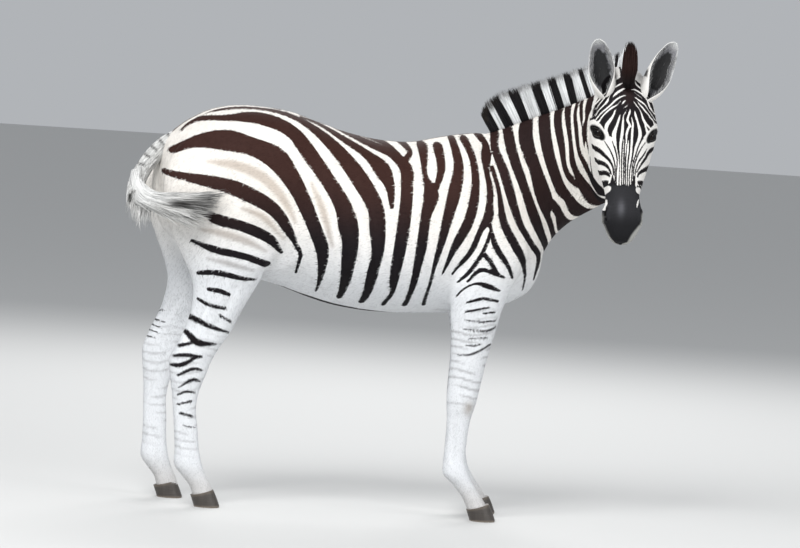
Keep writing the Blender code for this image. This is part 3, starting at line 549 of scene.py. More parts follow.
# Dark stripes of the body as strokes: x, z and half width along each one's middle, in the straight
# pose. Those of the left side are the same, a little warped.
DARK_STRIPES = [
    # back
    [(-710, 1275, 3), (-650, 1295, 4), (-400, 1290, 8), (-180, 1100, 29), (-125, 1000, 27), (-120, 950, 27),
        (-115, 850, 19), (-125, 800, 18), (-130, 750, 14), (-145, 700, 8), (-150, 670, 8)],
    [(-760, 1220, 2), (-745, 1240, 5), (-600, 1275, 11), (-550, 1280, 17), (-400, 1235, 23),
        (-365, 1195, 26), (-295, 1105, 24), (-230, 1000, 29), (-215, 950, 33), (-205, 900, 27),
        (-205, 850, 25), (-210, 750, 12), (-220, 700, 7), (-220, 670, 6)],
    # rump and thigh
    [(-790, 1155, 9), (-755, 1175, 13), (-600, 1200, 34), (-550, 1190, 30), (-450, 1145, 36),
        (-420, 1110, 32), (-315, 920, 22), (-295, 875, 22), (-290, 745, 4), (-295, 705, 5)],
    [(-805, 1085, 10), (-550, 1035, 25), (-450, 980, 21), (-395, 905, 13), (-380, 880, 8), (-360, 850, 7),
        (-365, 800, 4)],
    [(-715, 970, 8), (-690, 965, 10), (-655, 950, 16), (-550, 925, 17), (-450, 880, 14), (-420, 845, 5)],
    [(-715, 870, 5), (-655, 850, 11), (-525, 825, 11), (-460, 805, 12)],
    [(-685, 765, 7), (-645, 770, 9), (-525, 755, 6), (-495, 755, 3)],
    [(-650, 715, 6), (-610, 710, 8), (-580, 700, 6)],
    [(-680, 680, 5), (-650, 665, 6), (-590, 655, 6)],
    [(-606, 632, 3.5), (-568, 612, 4)],
    # saddle and barrel
    [(-370, 1290, 3), (-320, 1275, 5), (-225, 1225, 11), (-145, 1175, 17), (-105, 1135, 28), (-85, 1095, 18),
        (-75, 1020, 7)],
    [(-270, 1270, 3), (-120, 1210, 13), (-80, 1195, 14), (-25, 1140, 22), (-25, 1100, 21), (-40, 900, 21),
        (-50, 800, 16), (-50, 750, 7), (-65, 720, 8), (-70, 700, 8), (-80, 680, 10), (-80, 660, 11)],
    [(-200, 1260, 4), (-150, 1245, 9), (-85, 1220, 9), (-50, 1190, 8)],
    [(-30, 1235, 14), (-10, 1195, 9), (-20, 1180, 10)],
    [(35, 1220, 17), (40, 1110, 12), (55, 1080, 24), (40, 1000, 18), (30, 900, 18), (0, 700, 9),
        (-5, 680, 10), (-5, 660, 20)],
    [(85, 1220, 17), (90, 1150, 14), (70, 1090, 12), (50, 1065, 22)],
    [(135, 1250, 12), (150, 1150, 18), (140, 1100, 21), (105, 950, 16), (75, 800, 6), (70, 700, 8),
        (90, 660, 12)],
    [(175, 1250, 14), (195, 1200, 12), (190, 1000, 18), (145, 900, 13), (110, 810, 3)],
    # shoulder, and the chevrons under it
    [(215, 1290, 11), (225, 1270, 13), (245, 1240, 11), (245, 1200, 18), (245, 1150, 10), (255, 1100, 11),
        (255, 1050, 12), (250, 1000, 17), (230, 965, 10), (205, 900, 10), (145, 810, 4)],
    [(250, 995, 10), (260, 970, 6), (275, 920, 10), (330, 840, 7), (345, 810, 5)],
    [(265, 1165, 8), (285, 1100, 8), (300, 1000, 13), (385, 850, 10), (395, 825, 6), (400, 765, 3)],
    [(280, 1275, 14), (275, 1250, 13), (305, 1150, 16), (410, 915, 11), (435, 890, 11), (435, 800, 3)],
    [(260, 955, 6), (255, 935, 6), (180, 800, 5), (165, 785, 3)],
    [(245, 880, 8), (260, 865, 8), (300, 815, 6), (315, 810, 4)],
    [(195, 790, 4), (235, 830, 7), (300, 815, 6)],
    # neck
    [(320, 1330, 15), (325, 1250, 18), (375, 1100, 16), (435, 970, 19), (485, 895, 12)],
    [(700, 1455, 12), (775, 1360, 12), (790, 1300, 10), (785, 1250, 8)],
    [(750, 1480, 11), (825, 1390, 11), (840, 1340, 9)],
    [(800, 1495, 10), (835, 1460, 11), (865, 1420, 10)],
    [(390, 1360, 17), (385, 1315, 21), (380, 1290, 24), (420, 1150, 26), (440, 1100, 33), (460, 1060, 34),
        (465, 1020, 16), (485, 990, 14), (510, 930, 10)],
    [(470, 1065, 18), (530, 1025, 22), (540, 960, 20)],
    [(450, 1400, 16), (445, 1350, 20), (505, 1150, 28), (530, 1120, 30), (585, 1075, 20), (590, 1020, 17)],
    [(500, 1430, 12), (495, 1330, 16), (525, 1250, 17), (565, 1175, 15), (610, 1140, 14), (635, 1120, 13)],
    [(530, 1440, 12), (525, 1395, 13), (580, 1250, 13), (610, 1205, 19), (635, 1170, 15), (645, 1135, 16),
        (630, 1045, 11)],
    [(560, 1450, 8), (565, 1350, 8), (595, 1300, 12), (680, 1190, 10), (675, 1115, 9), (665, 1095, 6)],
    [(580, 1460, 7), (575, 1400, 7), (600, 1350, 9), (630, 1315, 4), (680, 1290, 18), (690, 1255, 4)],
    [(620, 1470, 13), (610, 1425, 15), (630, 1385, 25), (645, 1345, 14), (660, 1310, 23), (695, 1285, 9),
        (710, 1260, 5), (710, 1230, 2)],
    [(690, 1324, 1.5), (708, 1284, 1.5)],
    [(716, 1220, 1.5), (684, 1136, 2)],
    [(655, 1430, 12), (725, 1340, 13), (740, 1300, 8)],
    # foreleg
    [(165, 740, 3), (180, 760, 3), (230, 785, 5), (255, 780, 9), (305, 765, 4)],
    [(196, 720, 3.5), (252, 736, 5.5), (302, 730, 4.5)],
    [(196, 690, 3.5), (272, 708, 3.5)],
    [(256, 688, 3.5), (296, 694, 3)],
    [(198, 662, 2), (256, 660, 3), (300, 666, 3)],
    [(194, 632, 2), (288, 636, 3.5), (304, 644, 3)],
    [(214, 602, 1.5), (274, 608, 2.5)],
    [(208, 580, 2), (236, 580, 3), (260, 588, 2)],
    [(184, 546, 2), (214, 548, 3), (292, 586, 3)],
    # hind leg
    [(-700, 620, 9), (-625, 590, 7), (-570, 575, 3)],
    [(-710, 570, 8), (-675, 540, 11), (-610, 535, 3)],
    [(-728, 524, 6), (-690, 536, 5)],
    [(-744, 490, 4), (-720, 494, 6), (-656, 492, 5)],
    [(-750, 460, 5), (-730, 460, 7), (-670, 490, 4)],
    [(-728, 428, 4), (-672, 452, 5), (-650, 448, 3)],
    [(-722, 388, 2), (-672, 416, 5), (-652, 410, 2)],
    [(-724, 364, 3), (-690, 376, 4), (-668, 372, 3)],
    [(-722, 332, 3), (-678, 344, 4)],
    [(-712, 304, 4), (-672, 296, 4)],
    [(-700, 264, 2), (-660, 258, 2)],
]

# Short bars on the back of the left hind leg, the same way.
FAR_BARS = [
    [(-740, 612, 2.5), (-682, 606, 2)],
    [(-740, 580, 3.5), (-686, 566, 2.5)],
    [(-745, 560, 3.5), (-692, 545, 2)],
    [(-750, 540, 3), (-702, 527, 2)],
    [(-760, 516, 3), (-715, 508, 2)],
]

# Faint brown streaks inside the pale stripes, the same way.
SHADOW_STRIPES = [
    [(-680, 1130, 4), (-600, 1125, 14), (-500, 1090, 16), (-410, 995, 10), (-385, 950, 4)],
    [(-560, 985, 4), (-500, 965, 10), (-420, 895, 4)],
    [(-690, 910, 4), (-620, 900, 12), (-540, 880, 11), (-470, 850, 4)],
    [(-340, 1080, 3), (-310, 1020, 10), (-260, 880, 4)],
    [(-660, 815, 3), (-580, 800, 9), (-510, 785, 4)],
]

# Stripes of the face: distance across it from its middle and on round its sides (the right side is
# less than 0), distance down it from the poll, half width. The brow is dark with pale lines on it:
# it reaches down the face as far from the middle as these pairs say.
BROW = [(-100, 20), (20, 22), (40, 50), (60, 70), (90, 92), (120, 104), (150, 108), (165, 98), (180, 84),
    (200, 72), (220, 56), (240, 30), (246, 0)]
FACE_WHITE = [
    [(-51, 53, 2), (-65, 68, 2), (-87, 94, 3), (-100, 106, 2)],
    [(-12, 39, 1), (-20, 43, 2.5), (-44, 59, 2.5), (-77, 97, 2), (-97, 122, 2)],
    [(-54, 83, 1), (-60, 93, 2), (-64, 104, 4), (-73, 115, 3), (-92, 134, 2), (-100, 146, 2)],
    [(0, 54, 1), (-11, 60, 3), (-36, 78, 4), (-48, 92, 1)],
    [(-5, 82, 1.5), (-26, 92, 3), (-60, 124, 3), (-86, 147, 2.5), (-97, 162, 2)],
    [(-4, 99, 1), (-12, 107, 3), (-19, 116, 1)],
    [(-20, 100, 1), (-34, 118, 2), (-44, 124, 3), (-80, 157, 2.5), (-87, 168, 3), (-94, 174, 6),
        (-112, 170, 7)],
    [(1, 117, 1), (-6, 123, 2), (-13, 130, 1)],
    [(-35, 130, 1), (-40, 139, 2.5), (-43, 149, 3), (-59, 176, 5.5), (-65, 186, 6), (-67, 198, 5),
        (-60, 226, 5), (-54, 241, 3.5)],
    [(-23, 150, 1), (-26, 162, 3), (-32, 184, 3.5), (-41, 214, 6.5), (-37, 250, 4)],
    [(-3, 134, 1), (-6, 142, 2), (-11, 150, 1.5), (-13.5, 172, 3), (-15, 205, 4.5), (-19.5, 247, 3.5)],
    [(-9.5, 232, 1), (-10, 246, 1.5)],
    [(9, 130, 1), (8.5, 137, 3), (3, 157, 3), (1, 169, 4.5), (6, 178, 3.5), (9, 186, 4), (5, 194, 3.5),
        (1, 205, 3.5), (-1, 246, 2)],
    [(6, 234, 1), (5.5, 247, 1.5)],
    [(14, 156, 1), (19, 182, 3), (18, 196, 3.5), (17, 248, 3.5)],
    [(24.5, 134, 1), (26, 143, 3), (36, 175, 3.5), (44.5, 212, 6), (35, 248, 3.5)],
    [(21, 102, 1), (27, 111, 2), (41, 128, 1.5), (59, 168, 4.5), (83, 188, 3)],
    [(59, 170, 3), (67, 193, 4), (72, 202, 6), (66, 217, 5), (57, 231, 3.5), (50, 246, 3)],
    [(33, 100, 1), (39, 108, 2), (55, 124, 3), (63, 133, 3), (71, 138, 2), (77, 146, 3), (95, 160, 3),
        (98, 170, 4), (104, 176, 7), (118, 170, 7)],
    [(25, 87, 1.5), (34, 93, 2.5), (62, 111, 2.5), (69, 120, 1.5), (84, 135, 2), (103, 146, 3)],
    [(24, 71, 1), (50, 88, 1)],
    [(12, 62, 1), (25, 60.5, 3), (36, 65, 3), (66, 86, 3.5), (84, 118, 4), (110, 124, 3)],
    [(27, 26, 1), (30, 40, 3), (48, 54, 3), (65, 67, 2), (78, 80, 2), (100, 98, 3)],
    [(-130, 391, 13), (-55, 391, 11)],
    [(-120, 430, 9), (-78, 430, 7), (-62, 425, 7), (-60, 440, 6), (-62, 458, 3)],
    [(130, 390, 12.5), (85, 390, 12), (46, 391, 10)],
    [(49.5, 420, 1), (45.5, 433, 3), (41.5, 449, 1.5)],
    [(120, 430, 9), (78, 432, 5)],
]
FACE_DARK = [
    [(-43.5, 240, 3.2), (-29, 296, 1.6), (-30, 352, 1.2), (-29, 388, 1.2)],
    [(-28.5, 236, 5.2), (-27, 259, 4), (-22.5, 288, 1.8), (-20.5, 388, 1.2)],
    [(-13.5, 236, 2.6), (-14.5, 290, 1.6), (-12.5, 388, 1.2)],
    [(-6, 236, 2.4), (-7, 275, 1.8), (-6, 388, 1.2)],
    [(2, 238, 1.6), (-1.5, 303, 1.6), (0, 388, 1.2)],
    [(10.5, 236, 3), (9.5, 277, 2.2), (7.5, 295, 2), (6, 388, 1.2)],
    [(28, 232, 7), (24, 252, 4.2), (22.5, 272, 3), (13, 340, 1.4), (13, 388, 1.2)],
    [(53, 220, 4.4), (41, 248, 2.6), (32, 279, 2), (25, 303, 1.6), (19.5, 388, 1.2)],
    [(64, 234, 1.2), (49.5, 257, 2), (28.5, 317, 1.4), (26, 388, 1)],
    [(73, 250, 1), (60, 275, 2.2), (43.5, 299, 2), (35.5, 321, 1.4), (32, 388, 1)],
    [(270, 256, 6), (200, 240, 7.6), (150, 224, 8), (82, 257, 5), (67, 285, 3.6), (57.5, 299, 2.8),
        (37, 336, 1.2)],
    [(270, 304, 6), (190, 294, 6.4), (130, 288, 8), (105, 294, 8), (67, 319, 5), (52.5, 331, 4.2),
        (44.5, 339, 3), (41.5, 348, 2.2)],
    [(240, 352, 6), (150, 344, 6.4), (105, 346, 6), (85, 354, 7), (48, 366, 6)],
    [(28.5, 350, 1.2), (28.5, 366, 4), (26, 385, 8)],
    [(-270, 262, 6), (-200, 244, 7.6), (-150, 230, 8), (-115, 238, 7), (-80, 265, 5), (-66, 283, 4.2),
        (-56, 294, 3.6), (-41, 323, 2), (-38, 348, 1.4)],
    [(-70, 236, 1), (-51, 268, 2), (-36, 310, 1.4), (-34, 345, 1), (-33, 388, 1)],
    [(-270, 305, 6), (-190, 292, 6.4), (-130, 280, 6.4), (-100, 285, 6.4), (-82, 298, 5.4), (-66, 309, 4.4),
        (-49, 333, 2), (-45.5, 346, 1.4)],
    [(-260, 340, 6), (-170, 328, 6.4), (-110, 322, 6.4), (-80, 331, 6.4), (-55, 342, 4.4), (-50, 351, 2)],
    [(-240, 372, 6), (-150, 360, 6.4), (-95, 358, 7), (-58, 368, 5.8)],
    [(-41, 350, 1.2), (-41, 362, 4), (-38, 385, 10)],
]
# The pale edges of the lips and nostrils: pale hair, with a painted highlight along the rims.
PALE_LIT_LIP_EDGES = [
    [(70, 462, 6), (66, 495, 8), (36, 550, 12), (24, 565, 8)],
    [(-73, 462, 5), (-71, 495, 7), (-52, 548, 11), (-40, 562, 8)],
]
# Those of the sides of the head, the same on both.
CHEEK_DARK = [
    [(108, 180, 4), (101, 190, 9), (83, 217, 9), (78, 226, 6)],
    [(235, 200, 5), (190, 184, 8), (150, 180, 8), (125, 184, 6)],
    [(250, 158, 5), (200, 142, 8), (125, 148, 6), (106, 156, 3)],
    [(255, 118, 5), (200, 104, 8), (160, 104, 8), (120, 114, 5)],
    [(250, 80, 6), (200, 68, 8), (160, 70, 7), (115, 82, 4)],
    [(200, 32, 8), (160, 36, 7), (110, 48, 4)],
]

FACE_SIDE = 0.056  # how far behind the face line the head's sides begin


def stroke_distance(u, v, strokes, reach):
    """Distance from each point (u, v) to the edge of the nearest stroke, less than 0 inside it."""
    nearest = np.full(len(u), reach)
    for rows in strokes:
        line = MILLIMETRE * between(rows, 4 * len(rows) + 1)
        wide = line[:, 2].max() + reach
        low, high = line[:, :2].min(axis=0) - wide, line[:, :2].max(axis=0) + wide
        near = np.flatnonzero((u > low[0]) & (u < high[0]) & (v > low[1]) & (v < high[1]))
        p = columns(u[near], v[near])
        best = nearest[near]
        for a, b in zip(line, line[1:]):
            way = b[:2] - a[:2]
            t = np.clip(((p - a[:2]) @ way) / max(way @ way, 1e-12), 0.0, 1.0)
            half = a[2] + (b[2] - a[2]) * t
            away = np.linalg.norm(p - a[:2] - t[:, None] * way, axis=1)
            best = np.minimum(best, away - half)
        nearest[near] = best
    return nearest


def body_mark(points):
    """Distance to the nearest dark stripe's edge on body, neck and legs, before posing."""
    x, y, z = points.T
    left = ramp(y, 0.0, 0.09)
    u = x + left * (0.016 * np.sin(8.0 * z + 1.0) - 0.004)
    v = z + left * 0.012 * np.sin(9.0 * x + 2.0)
    v = v + 0.020 * ramp(z, 0.84, 0.76) * ramp(x, -0.46, -0.38) * ramp(x, 0.12, 0.04)
    mark = stroke_distance(u, v, DARK_STRIPES, 0.05)
    under = ramp(z, 0.735, 0.700) * ramp(x, -0.50, -0.42) * ramp(x, 0.33, 0.25)
    wide = 0.012 + 0.044 * ramp(x, -0.48, -0.38) * ramp(x, 0.02, -0.10)
    ventral = np.abs(y) - wide - 0.004 * np.sin(23.0 * x) + 0.05 * (1 - under)
    top = ramp(z, 1.10, 1.14) * ramp(x, 0.26, 0.20) * ramp(x, -0.84, -0.78)
    dorsal = np.abs(y) - 0.009 + 0.05 * (1 - top)
    thighs = ramp(np.abs(y), 0.128, 0.106) * ramp(z, 0.74, 0.66)
    buttock = ramp(y, -0.030, 0.0) * ramp(x, -0.70, -0.74) * ramp(z, 1.16, 1.10)
    far_side = ramp(y, 0.140, 0.120) * ramp(y, -0.02, 0.02)
    far_side = far_side * ramp(x, -0.54, -0.60) * ramp(z, 0.96, 0.90)
    inner = np.maximum(np.maximum(thighs, buttock), far_side)
    mark = np.where(z < 0.78, mark * (1 - 0.70 * ramp(z, 0.78, 0.60)), mark) + 0.02 * inner
    mark = mark + 0.014 * ramp(np.abs(y), 0.046, 0.026) * top * ramp(x, -0.44, -0.52)
    far = stroke_distance(x, z, FAR_BARS, 0.03) + 0.05 * ramp(y, 0.04, 0.02)
    return np.minimum(np.minimum(mark, np.minimum(ventral, dorsal)), far)


def round_head(points):
    """Distance across the face and on round its sides, signed, and distance down it."""
    down, across, deep = head_frame(points)
    side = np.where(across > 0.004, 1.0, -1.0)
    return across + side * np.maximum(deep - FACE_SIDE, 0.0), down


def face_mark(points):
    """The same on the head."""
    around, down = round_head(points)
    brow = np.abs(around) - np.interp(down, *metres(BROW).T)
    fine = stroke_distance(around, down, FACE_DARK, 0.02) - 0.0006 * ramp(down, 0.25, 0.30)
    cheek = stroke_distance(np.abs(around), down, CHEEK_DARK, 0.02)
    dark = np.minimum(np.minimum(fine, brow), np.minimum(cheek, muzzle_mark(points)))
    pale = stroke_distance(around, down, FACE_WHITE, 0.02) + 0.0005 * ramp(down, 0.20, 0.12)
    return np.maximum(dark, -pale)


def muzzle_mark(points):
    """Distance to the edge of the dark muzzle, less than 0 on it."""
    around, down = round_head(points)
    edge = 0.381 - 0.010 * ramp(np.abs(around), 0.035, 0.055) + 0.003 * np.sin(700.0 * around)
    return edge - down


def leg_bars(points):
    """Faint wavy bars round the legs, 0 to 1."""
    x, y, z = points.T
    bend = 1.6 * np.sin(38.0 * x + 9.0 * z) + 1.2 * np.sin(21.0 * y + 17.0 * z)
    broken = ramp(np.sin(34.0 * x + 29.0 * y + 2.2 * np.sin(26.0 * z)), -1.3, 0.2)
    fore = ramp(z, 0.34, 0.42) * ramp(z, 0.74, 0.62) * ramp(x, 0.0, 0.1)
    hind = ramp(z, 0.14, 0.20) * ramp(z, 0.62, 0.50) * ramp(x, -0.4, -0.5)
    return ramp(np.sin(235.0 * z + bend) * broken, 0.35, 0.95) * (0.80 * fore + 0.55 * hind)


def markings(points, head):
    """All the skin's markings at points before posing, as a table of named values."""
    x, _, z = points.T
    mark = body_mark(points)
    at = np.flatnonzero(head)
    down, _, deep = head_frame(points[at])
    throat = ramp(deep + 0.25 * (0.30 - down), 0.250, 0.258) * ramp(down, 0.15, 0.18)
    mark[at] = face_mark(points[at]) * (1 - throat) + mark[at] * throat
    muzzle = np.full(len(points), 0.05)
    muzzle[at] = np.maximum(muzzle_mark(points[at]), -0.05)
    shade = np.clip(0.5 - stroke_distance(x, z, SHADOW_STRIPES, 0.03) / 0.012, 0.0, 1.0)
    shade = np.maximum(shade * ramp(z, 0.60, 0.80), leg_bars(points))
    brown = ramp(z, 0.86, 1.14) * (0.35 + 0.65 * ramp(x, 0.36, 0.12))
    brown = np.maximum(brown, 0.35 * ramp(x, 0.40, 0.52) * ramp(z + 0.15 * x, 1.28, 1.40))
    around, down = round_head(points[at])
    brown[at] = 0.35 * hump(around, 0.004, 0.020) * ramp(down, 0.14, 0.08)
    cool = ramp(z, 1.02, 0.72)
    cool[at] = 0.30
    pale_lit_lip = np.zeros(len(points))
    # Pale lip edges: pale hair with a painted highlight along them.
    pale_lit_lip[at] = ramp(stroke_distance(around, down, PALE_LIT_LIP_EDGES, 0.02), 0.0040, -0.0040)
    return {"mark": mark, "muzzle": muzzle, "shade": shade, "brown": brown, "cool": cool, "pale_lit_lip": pale_lit_lip}


# ---------------------------------------------------------------- folds, lids, nostrils and mouth

# Forms of the flanks, shoulders and legs: height, width, and the line they follow in x and z.
FORMS = [
    (-7, 16, [(-475, 780), (-440, 806), (-412, 838), (-398, 885)]),
    (5, 22, [(-440, 765), (-405, 790), (-375, 825)]),
    (6, 40, [(-470, 820), (-500, 790)]),
    (5, 40, [(-400, 1205), (-430, 1180)]),
    (-4.5, 45, [(-345, 1130), (-330, 1050), (-345, 980)]),
    (-5, 24, [(118, 1110), (128, 1000), (142, 900), (165, 820)]),
    (4.5, 34, [(175, 1100), (190, 990), (185, 880)]),
    (4, 26, [(205, 1200), (270, 1080), (335, 960)]),
    (-3.5, 22, [(255, 1180), (315, 1070), (365, 980)]),
    (6, 34, [(395, 945), (405, 900)]),
    (5.5, 24, [(170, 800), (160, 775)]),
    (-4, 16, [(262, 780), (245, 690), (232, 590)]),
    (-3.5, 28, [(470, 965), (570, 1050), (655, 1140), (705, 1210)]),
    (-5.5, 12, [(-648, 660), (-676, 600), (-704, 545)]),
    (-3.5, 14, [(-560, 720), (-595, 640), (-632, 570)]),
    (3, 18, [(-660, 500), (-668, 465)]),
    (-3, 6, [(-704, 400), (-708, 300), (-697, 205)]),
    (2, 8, [(-722, 400), (-724, 300), (-712, 205)]),
    (-2.8, 6, [(198, 345), (193, 260), (194, 195)]),
    (2, 8, [(182, 345), (177, 260), (178, 195)]),
    (2.2, 16, [(222, 405), (226, 385)]),
    (-1.8, 8, [(205, 438), (202, 400)]),
]
RIB_STEP = 0.044
RIB_HEIGHT = 0.0011

# The same on the head, the line in distance down the face and behind it.
HEAD_FORMS = [
    (3.2, 9, [(235, 70), (280, 77), (335, 78)]),
    (-2.5, 12, [(240, 98), (290, 98), (340, 96)]),
    (-3, 12, [(268, 120), (262, 150), (235, 182), (200, 200)]),
    (3, 30, [(110, 130), (190, 135)]),
    (-3.5, 14, [(118, 40), (140, 36)]),
    (-2.2, 10, [(350, 50), (400, 52), (440, 60)]),
]

# A nostril: distance round the head, distance down the face and half width.
NOSTRIL = [(55, 456, 1.8), (60, 465, 3.6), (62, 476, 4.2), (60.5, 487, 3.6), (56, 495, 1.8)]

# The mouth's line: distance down the face and behind it, and no width.
MOUTH = [(452, 93, 0), (485, 91, 0), (515, 87, 0), (540, 81, 0), (575, 75, 0)]

# The eyeballs, in the head's own frame: down the face, out from the middle, behind the face line.
EYE_PLACE = (0.203, 0.081, 0.042)
EYE_RADIUS = 0.0215
EYE_AXIS = (-0.68, 0.585, 0.443)  # the long way of the opening, towards its rear corner
EYE_OUT = (0.13, 0.69, -0.71)  # the way it looks
EYE_UP = (-0.72, -0.42, -0.55)
EYE_HALF_LENGTH = 0.0195
EYE_HALF_HEIGHTS = (0.0125, 0.0100)  # above and below
EYE_POWER = 1.7  # of the opening's outline along its long axis
LID_THICKNESS = 0.0022
COAT_DEPTH = 0.0026
FINE_COAT_DEPTH = 0.0012  # on the head and the lower legs


def eye_frame(side):
    """An eye's middle, long axis, upward way and outward way, before posing."""
    middle = head_point(EYE_PLACE[0], side * EYE_PLACE[1], EYE_PLACE[2])
    out, axis, up = (head_way(a, side * b, c) for a, b, c in (EYE_OUT, EYE_AXIS, EYE_UP))
    out = unit(out)
    axis = unit(across_from(axis, out))
    return middle, axis, unit(across_from(across_from(up, out), axis)), out


def eye_shape(points, side):
    """Almond measure (1 on the lids' edge), distance from the eye's middle and outward distance."""
    middle, axis, up, out = eye_frame(side)
    off = points - middle
    a, b = off @ axis, off @ up
    high = np.where(b > 0, *EYE_HALF_HEIGHTS)
    almond = np.abs(a / EYE_HALF_LENGTH) ** EYE_POWER + (b / high) ** 2
    almond = np.where(off @ out > 0, almond, 99.0)
    return almond, np.linalg.norm(off, axis=1), off @ out


def lid_line(side, turn, half_heights, reach):
    """Points of an eye's opening, at turns round it: how far along its long axis, and place."""
    middle, axis, up, out = eye_frame(side)
    cos, sin = np.cos(turn), np.sin(turn)
    a = EYE_HALF_LENGTH * np.sign(cos) * np.abs(cos) ** (2 / EYE_POWER)
    b = np.where(sin > 0, *half_heights) * sin
    c = np.sqrt(np.maximum(reach**2 - a**2 - b**2, 1e-6))
    return a, middle + np.outer(a, axis) + np.outer(b, up) + np.outer(c, out)


def form_height(u, v, forms):
    rise = np.zeros(len(u))
    for height, width, line in forms:
        height, width = MILLIMETRE * height, MILLIMETRE * width
        away = stroke_distance(u, v, [[(*spot, 0.0) for spot in line]], 3 * width)
        rise += height * hump(away, 0.0, width)
    return rise


def body_rise(points):
    x, y, z = points.T
    rise = ramp(np.abs(y), 0.03, 0.10) * form_height(x, z, FORMS)
    ribs = ramp(x, -0.34, -0.24) * ramp(x, 0.13, 0.04) * ramp(z, 0.72, 0.84) * ramp(z, 1.14, 1.00)
    return rise + RIB_HEIGHT * ribs * np.cos(2 * math.pi * (x + 0.22 * (z - 0.9)) / RIB_STEP)


def nostril_distance(points):
    down, across, deep = head_frame(points)
    around = np.abs(across) + np.maximum(deep - FACE_SIDE, 0.0)
    away = stroke_distance(around, down, [NOSTRIL], 0.03)
    return np.where(deep < 0.068, away, 0.03)


def mouth_distance(points):
    down, _, deep = head_frame(points)
    return stroke_distance(down, deep, [MOUTH], 0.03)


def head_rise(points):
    down, across, deep = head_frame(points)
    nostril, mouth = nostril_distance(points), mouth_distance(points)
    rise = ramp(np.abs(across), 0.020, 0.045) * form_height(down, deep, HEAD_FORMS)
    rise += 0.0030 * hump(nostril, 0.0045, 0.0040) - 0.012 * ramp(nostril, 0.0008, -0.0035)
    rise += 0.0014 * hump(mouth, 0.0065, 0.0050) - 0.0048 * hump(mouth, 0.0, 0.0022)
    wrinkle = ramp(down, 0.40, 0.44) * ramp(down, 0.50, 0.47) * ramp(nostril, 0.004, 0.012)
    return rise + 0.0002 * wrinkle * np.sin(520.0 * down + 60.0 * across)


def with_lids(points):
    """Points near each eye drawn to the eyeball's lids, and those in the opening behind it."""
    points = points.copy()
    for side in (-1, 1):
        middle, axis, up, _ = eye_frame(side)
        almond, away, ahead = eye_shape(points, side)
        off = points - middle
        spread = np.hypot((off @ axis) / 0.036, (off @ up) / 0.028)
        at = np.flatnonzero((spread < 1.0) & (ahead > 0) & (away < 0.06))
        weight = ramp(spread[at], 1.0, 0.50)
        lid = EYE_RADIUS + LID_THICKNESS + 0.0012 * hump(almond[at], 1.9, 0.7)
        target = np.where(almond[at] < 1.0, EYE_RADIUS - 0.0045, lid)
        reach = away[at] * (1 - weight) + target * weight
        points[at] = middle + off[at] / away[at, None] * reach[:, None]
    return points


def dressed(points, normals, head):
    """The skin's points: the flesh with its folds and lids, inside the flesh by the coat's depth."""
    fine = np.maximum(1.0 * head, ramp(points[:, 2], 0.75, 0.55))
    rise = body_rise(points)
    rise[head] = head_rise(points[head])
    depth = COAT_DEPTH + (FINE_COAT_DEPTH - COAT_DEPTH) * fine
    moved = points + normals * (rise - depth)[:, None]
    moved[head] = with_lids(moved[head])
    return moved


# ---------------------------------------------------------------- the skin's unwrap

HEAD_UNWRAP_SCALE = 2.4
UNWRAP_MARGIN = 0.0020
UNWRAP_LEANING = (0.80, 1.0, 0.85)  # a face is laid out sideways sooner than from ahead or above


def facing(polygons, verts, normals, rounds=8):
    """Which of six ways each polygon faces, made even by its neighbours."""
    count, vertices = len(normals), verts.max() + 1
    weighted = normals * UNWRAP_LEANING
    way = np.abs(weighted).argmax(axis=1)
    kind = 2 * way + (np.take_along_axis(weighted, way[:, None], 1)[:, 0] > 0)
    for _ in range(rounds):
        votes = [np.bincount(verts, (kind == k)[polygons], vertices) for k in range(6)]
        sums = columns(*(np.bincount(polygons, vote[verts], count) for vote in votes))
        kind = sums.argmax(axis=1)
    return kind


def islands(polygons, verts, kind):
    """A number for each connected set of polygons of one kind."""
    _, pair = np.unique(verts.astype(np.int64) * 4096 + kind[polygons], return_inverse=True)
    label = np.arange(len(kind))
    while True:
        least = np.full(pair.max() + 1, len(kind))
        np.minimum.at(least, pair, label[polygons])
        found = np.full(len(kind), len(kind))
        np.minimum.at(found, polygons, least[pair])
        found = found[found]
        if (found == label).all():
            return np.unique(label, return_inverse=True)[1]
        label = found


def shelves(sizes, scale):
    """Places of boxes laid on shelves in a unit square, or None when they don't fit."""
    spots = np.zeros_like(sizes)
    x = y = UNWRAP_MARGIN
    shelf = 0.0
    for k in np.argsort(-sizes[:, 1], kind="stable"):
        w, h = sizes[k] * scale + UNWRAP_MARGIN
        if x + w > 1.0:
            x, y, shelf = UNWRAP_MARGIN, y + shelf, 0.0
        if x + w > 1.0 or y + h > 1.0:
            return None
        spots[k] = x, y
        x += w
        shelf = max(shelf, h)
    return spots


def unwrap(mesh):
    """Lays the skin out flat in pieces seen along six ways, with the head's larger, as OFBake."""
    verts = numbers(mesh.loops, "vertex_index", 1, np.int32)
    counts = numbers(mesh.polygons, "loop_total", 1, np.int32)
    polygons = np.repeat(np.arange(len(counts)), counts)
    middles = face_middles(mesh)
    x, _, z = middles.T
    face = on_the_head(middles)
    legs = np.where(x > -0.2, 1, 2)
    region = np.select([face, z < 0.74, x > 0.40, x > -0.10], [0, legs, 3, 4], 5)
    kind = facing(polygons, verts, numbers(mesh.polygons, "normal")) + 6 * region
    x, y, z = points_of(mesh)[verts].T
    way = (kind[polygons] % 6) // 2
    uv = columns(np.where(way == 0, y, x), np.where(way == 2, y, z))
    uv *= np.where(face[polygons], HEAD_UNWRAP_SCALE, 1.0)[:, None]
    corner = islands(polygons, verts, kind)[polygons]
    low = np.full((corner.max() + 1, 2), 1e9)
    high = -low
    np.minimum.at(low, corner, uv)
    np.maximum.at(high, corner, uv)
    small, large = 0.0, 1.0
    for _ in range(24):
        scale = (small + large) / 2
        if shelves(high - low, scale) is None:
            large = scale
        else:
            small = scale
    uv = (uv - low[corner]) * small + shelves(high - low, small)[corner]
    store_map(mesh, uv)
    return uv


# ---------------------------------------------------------------- materials

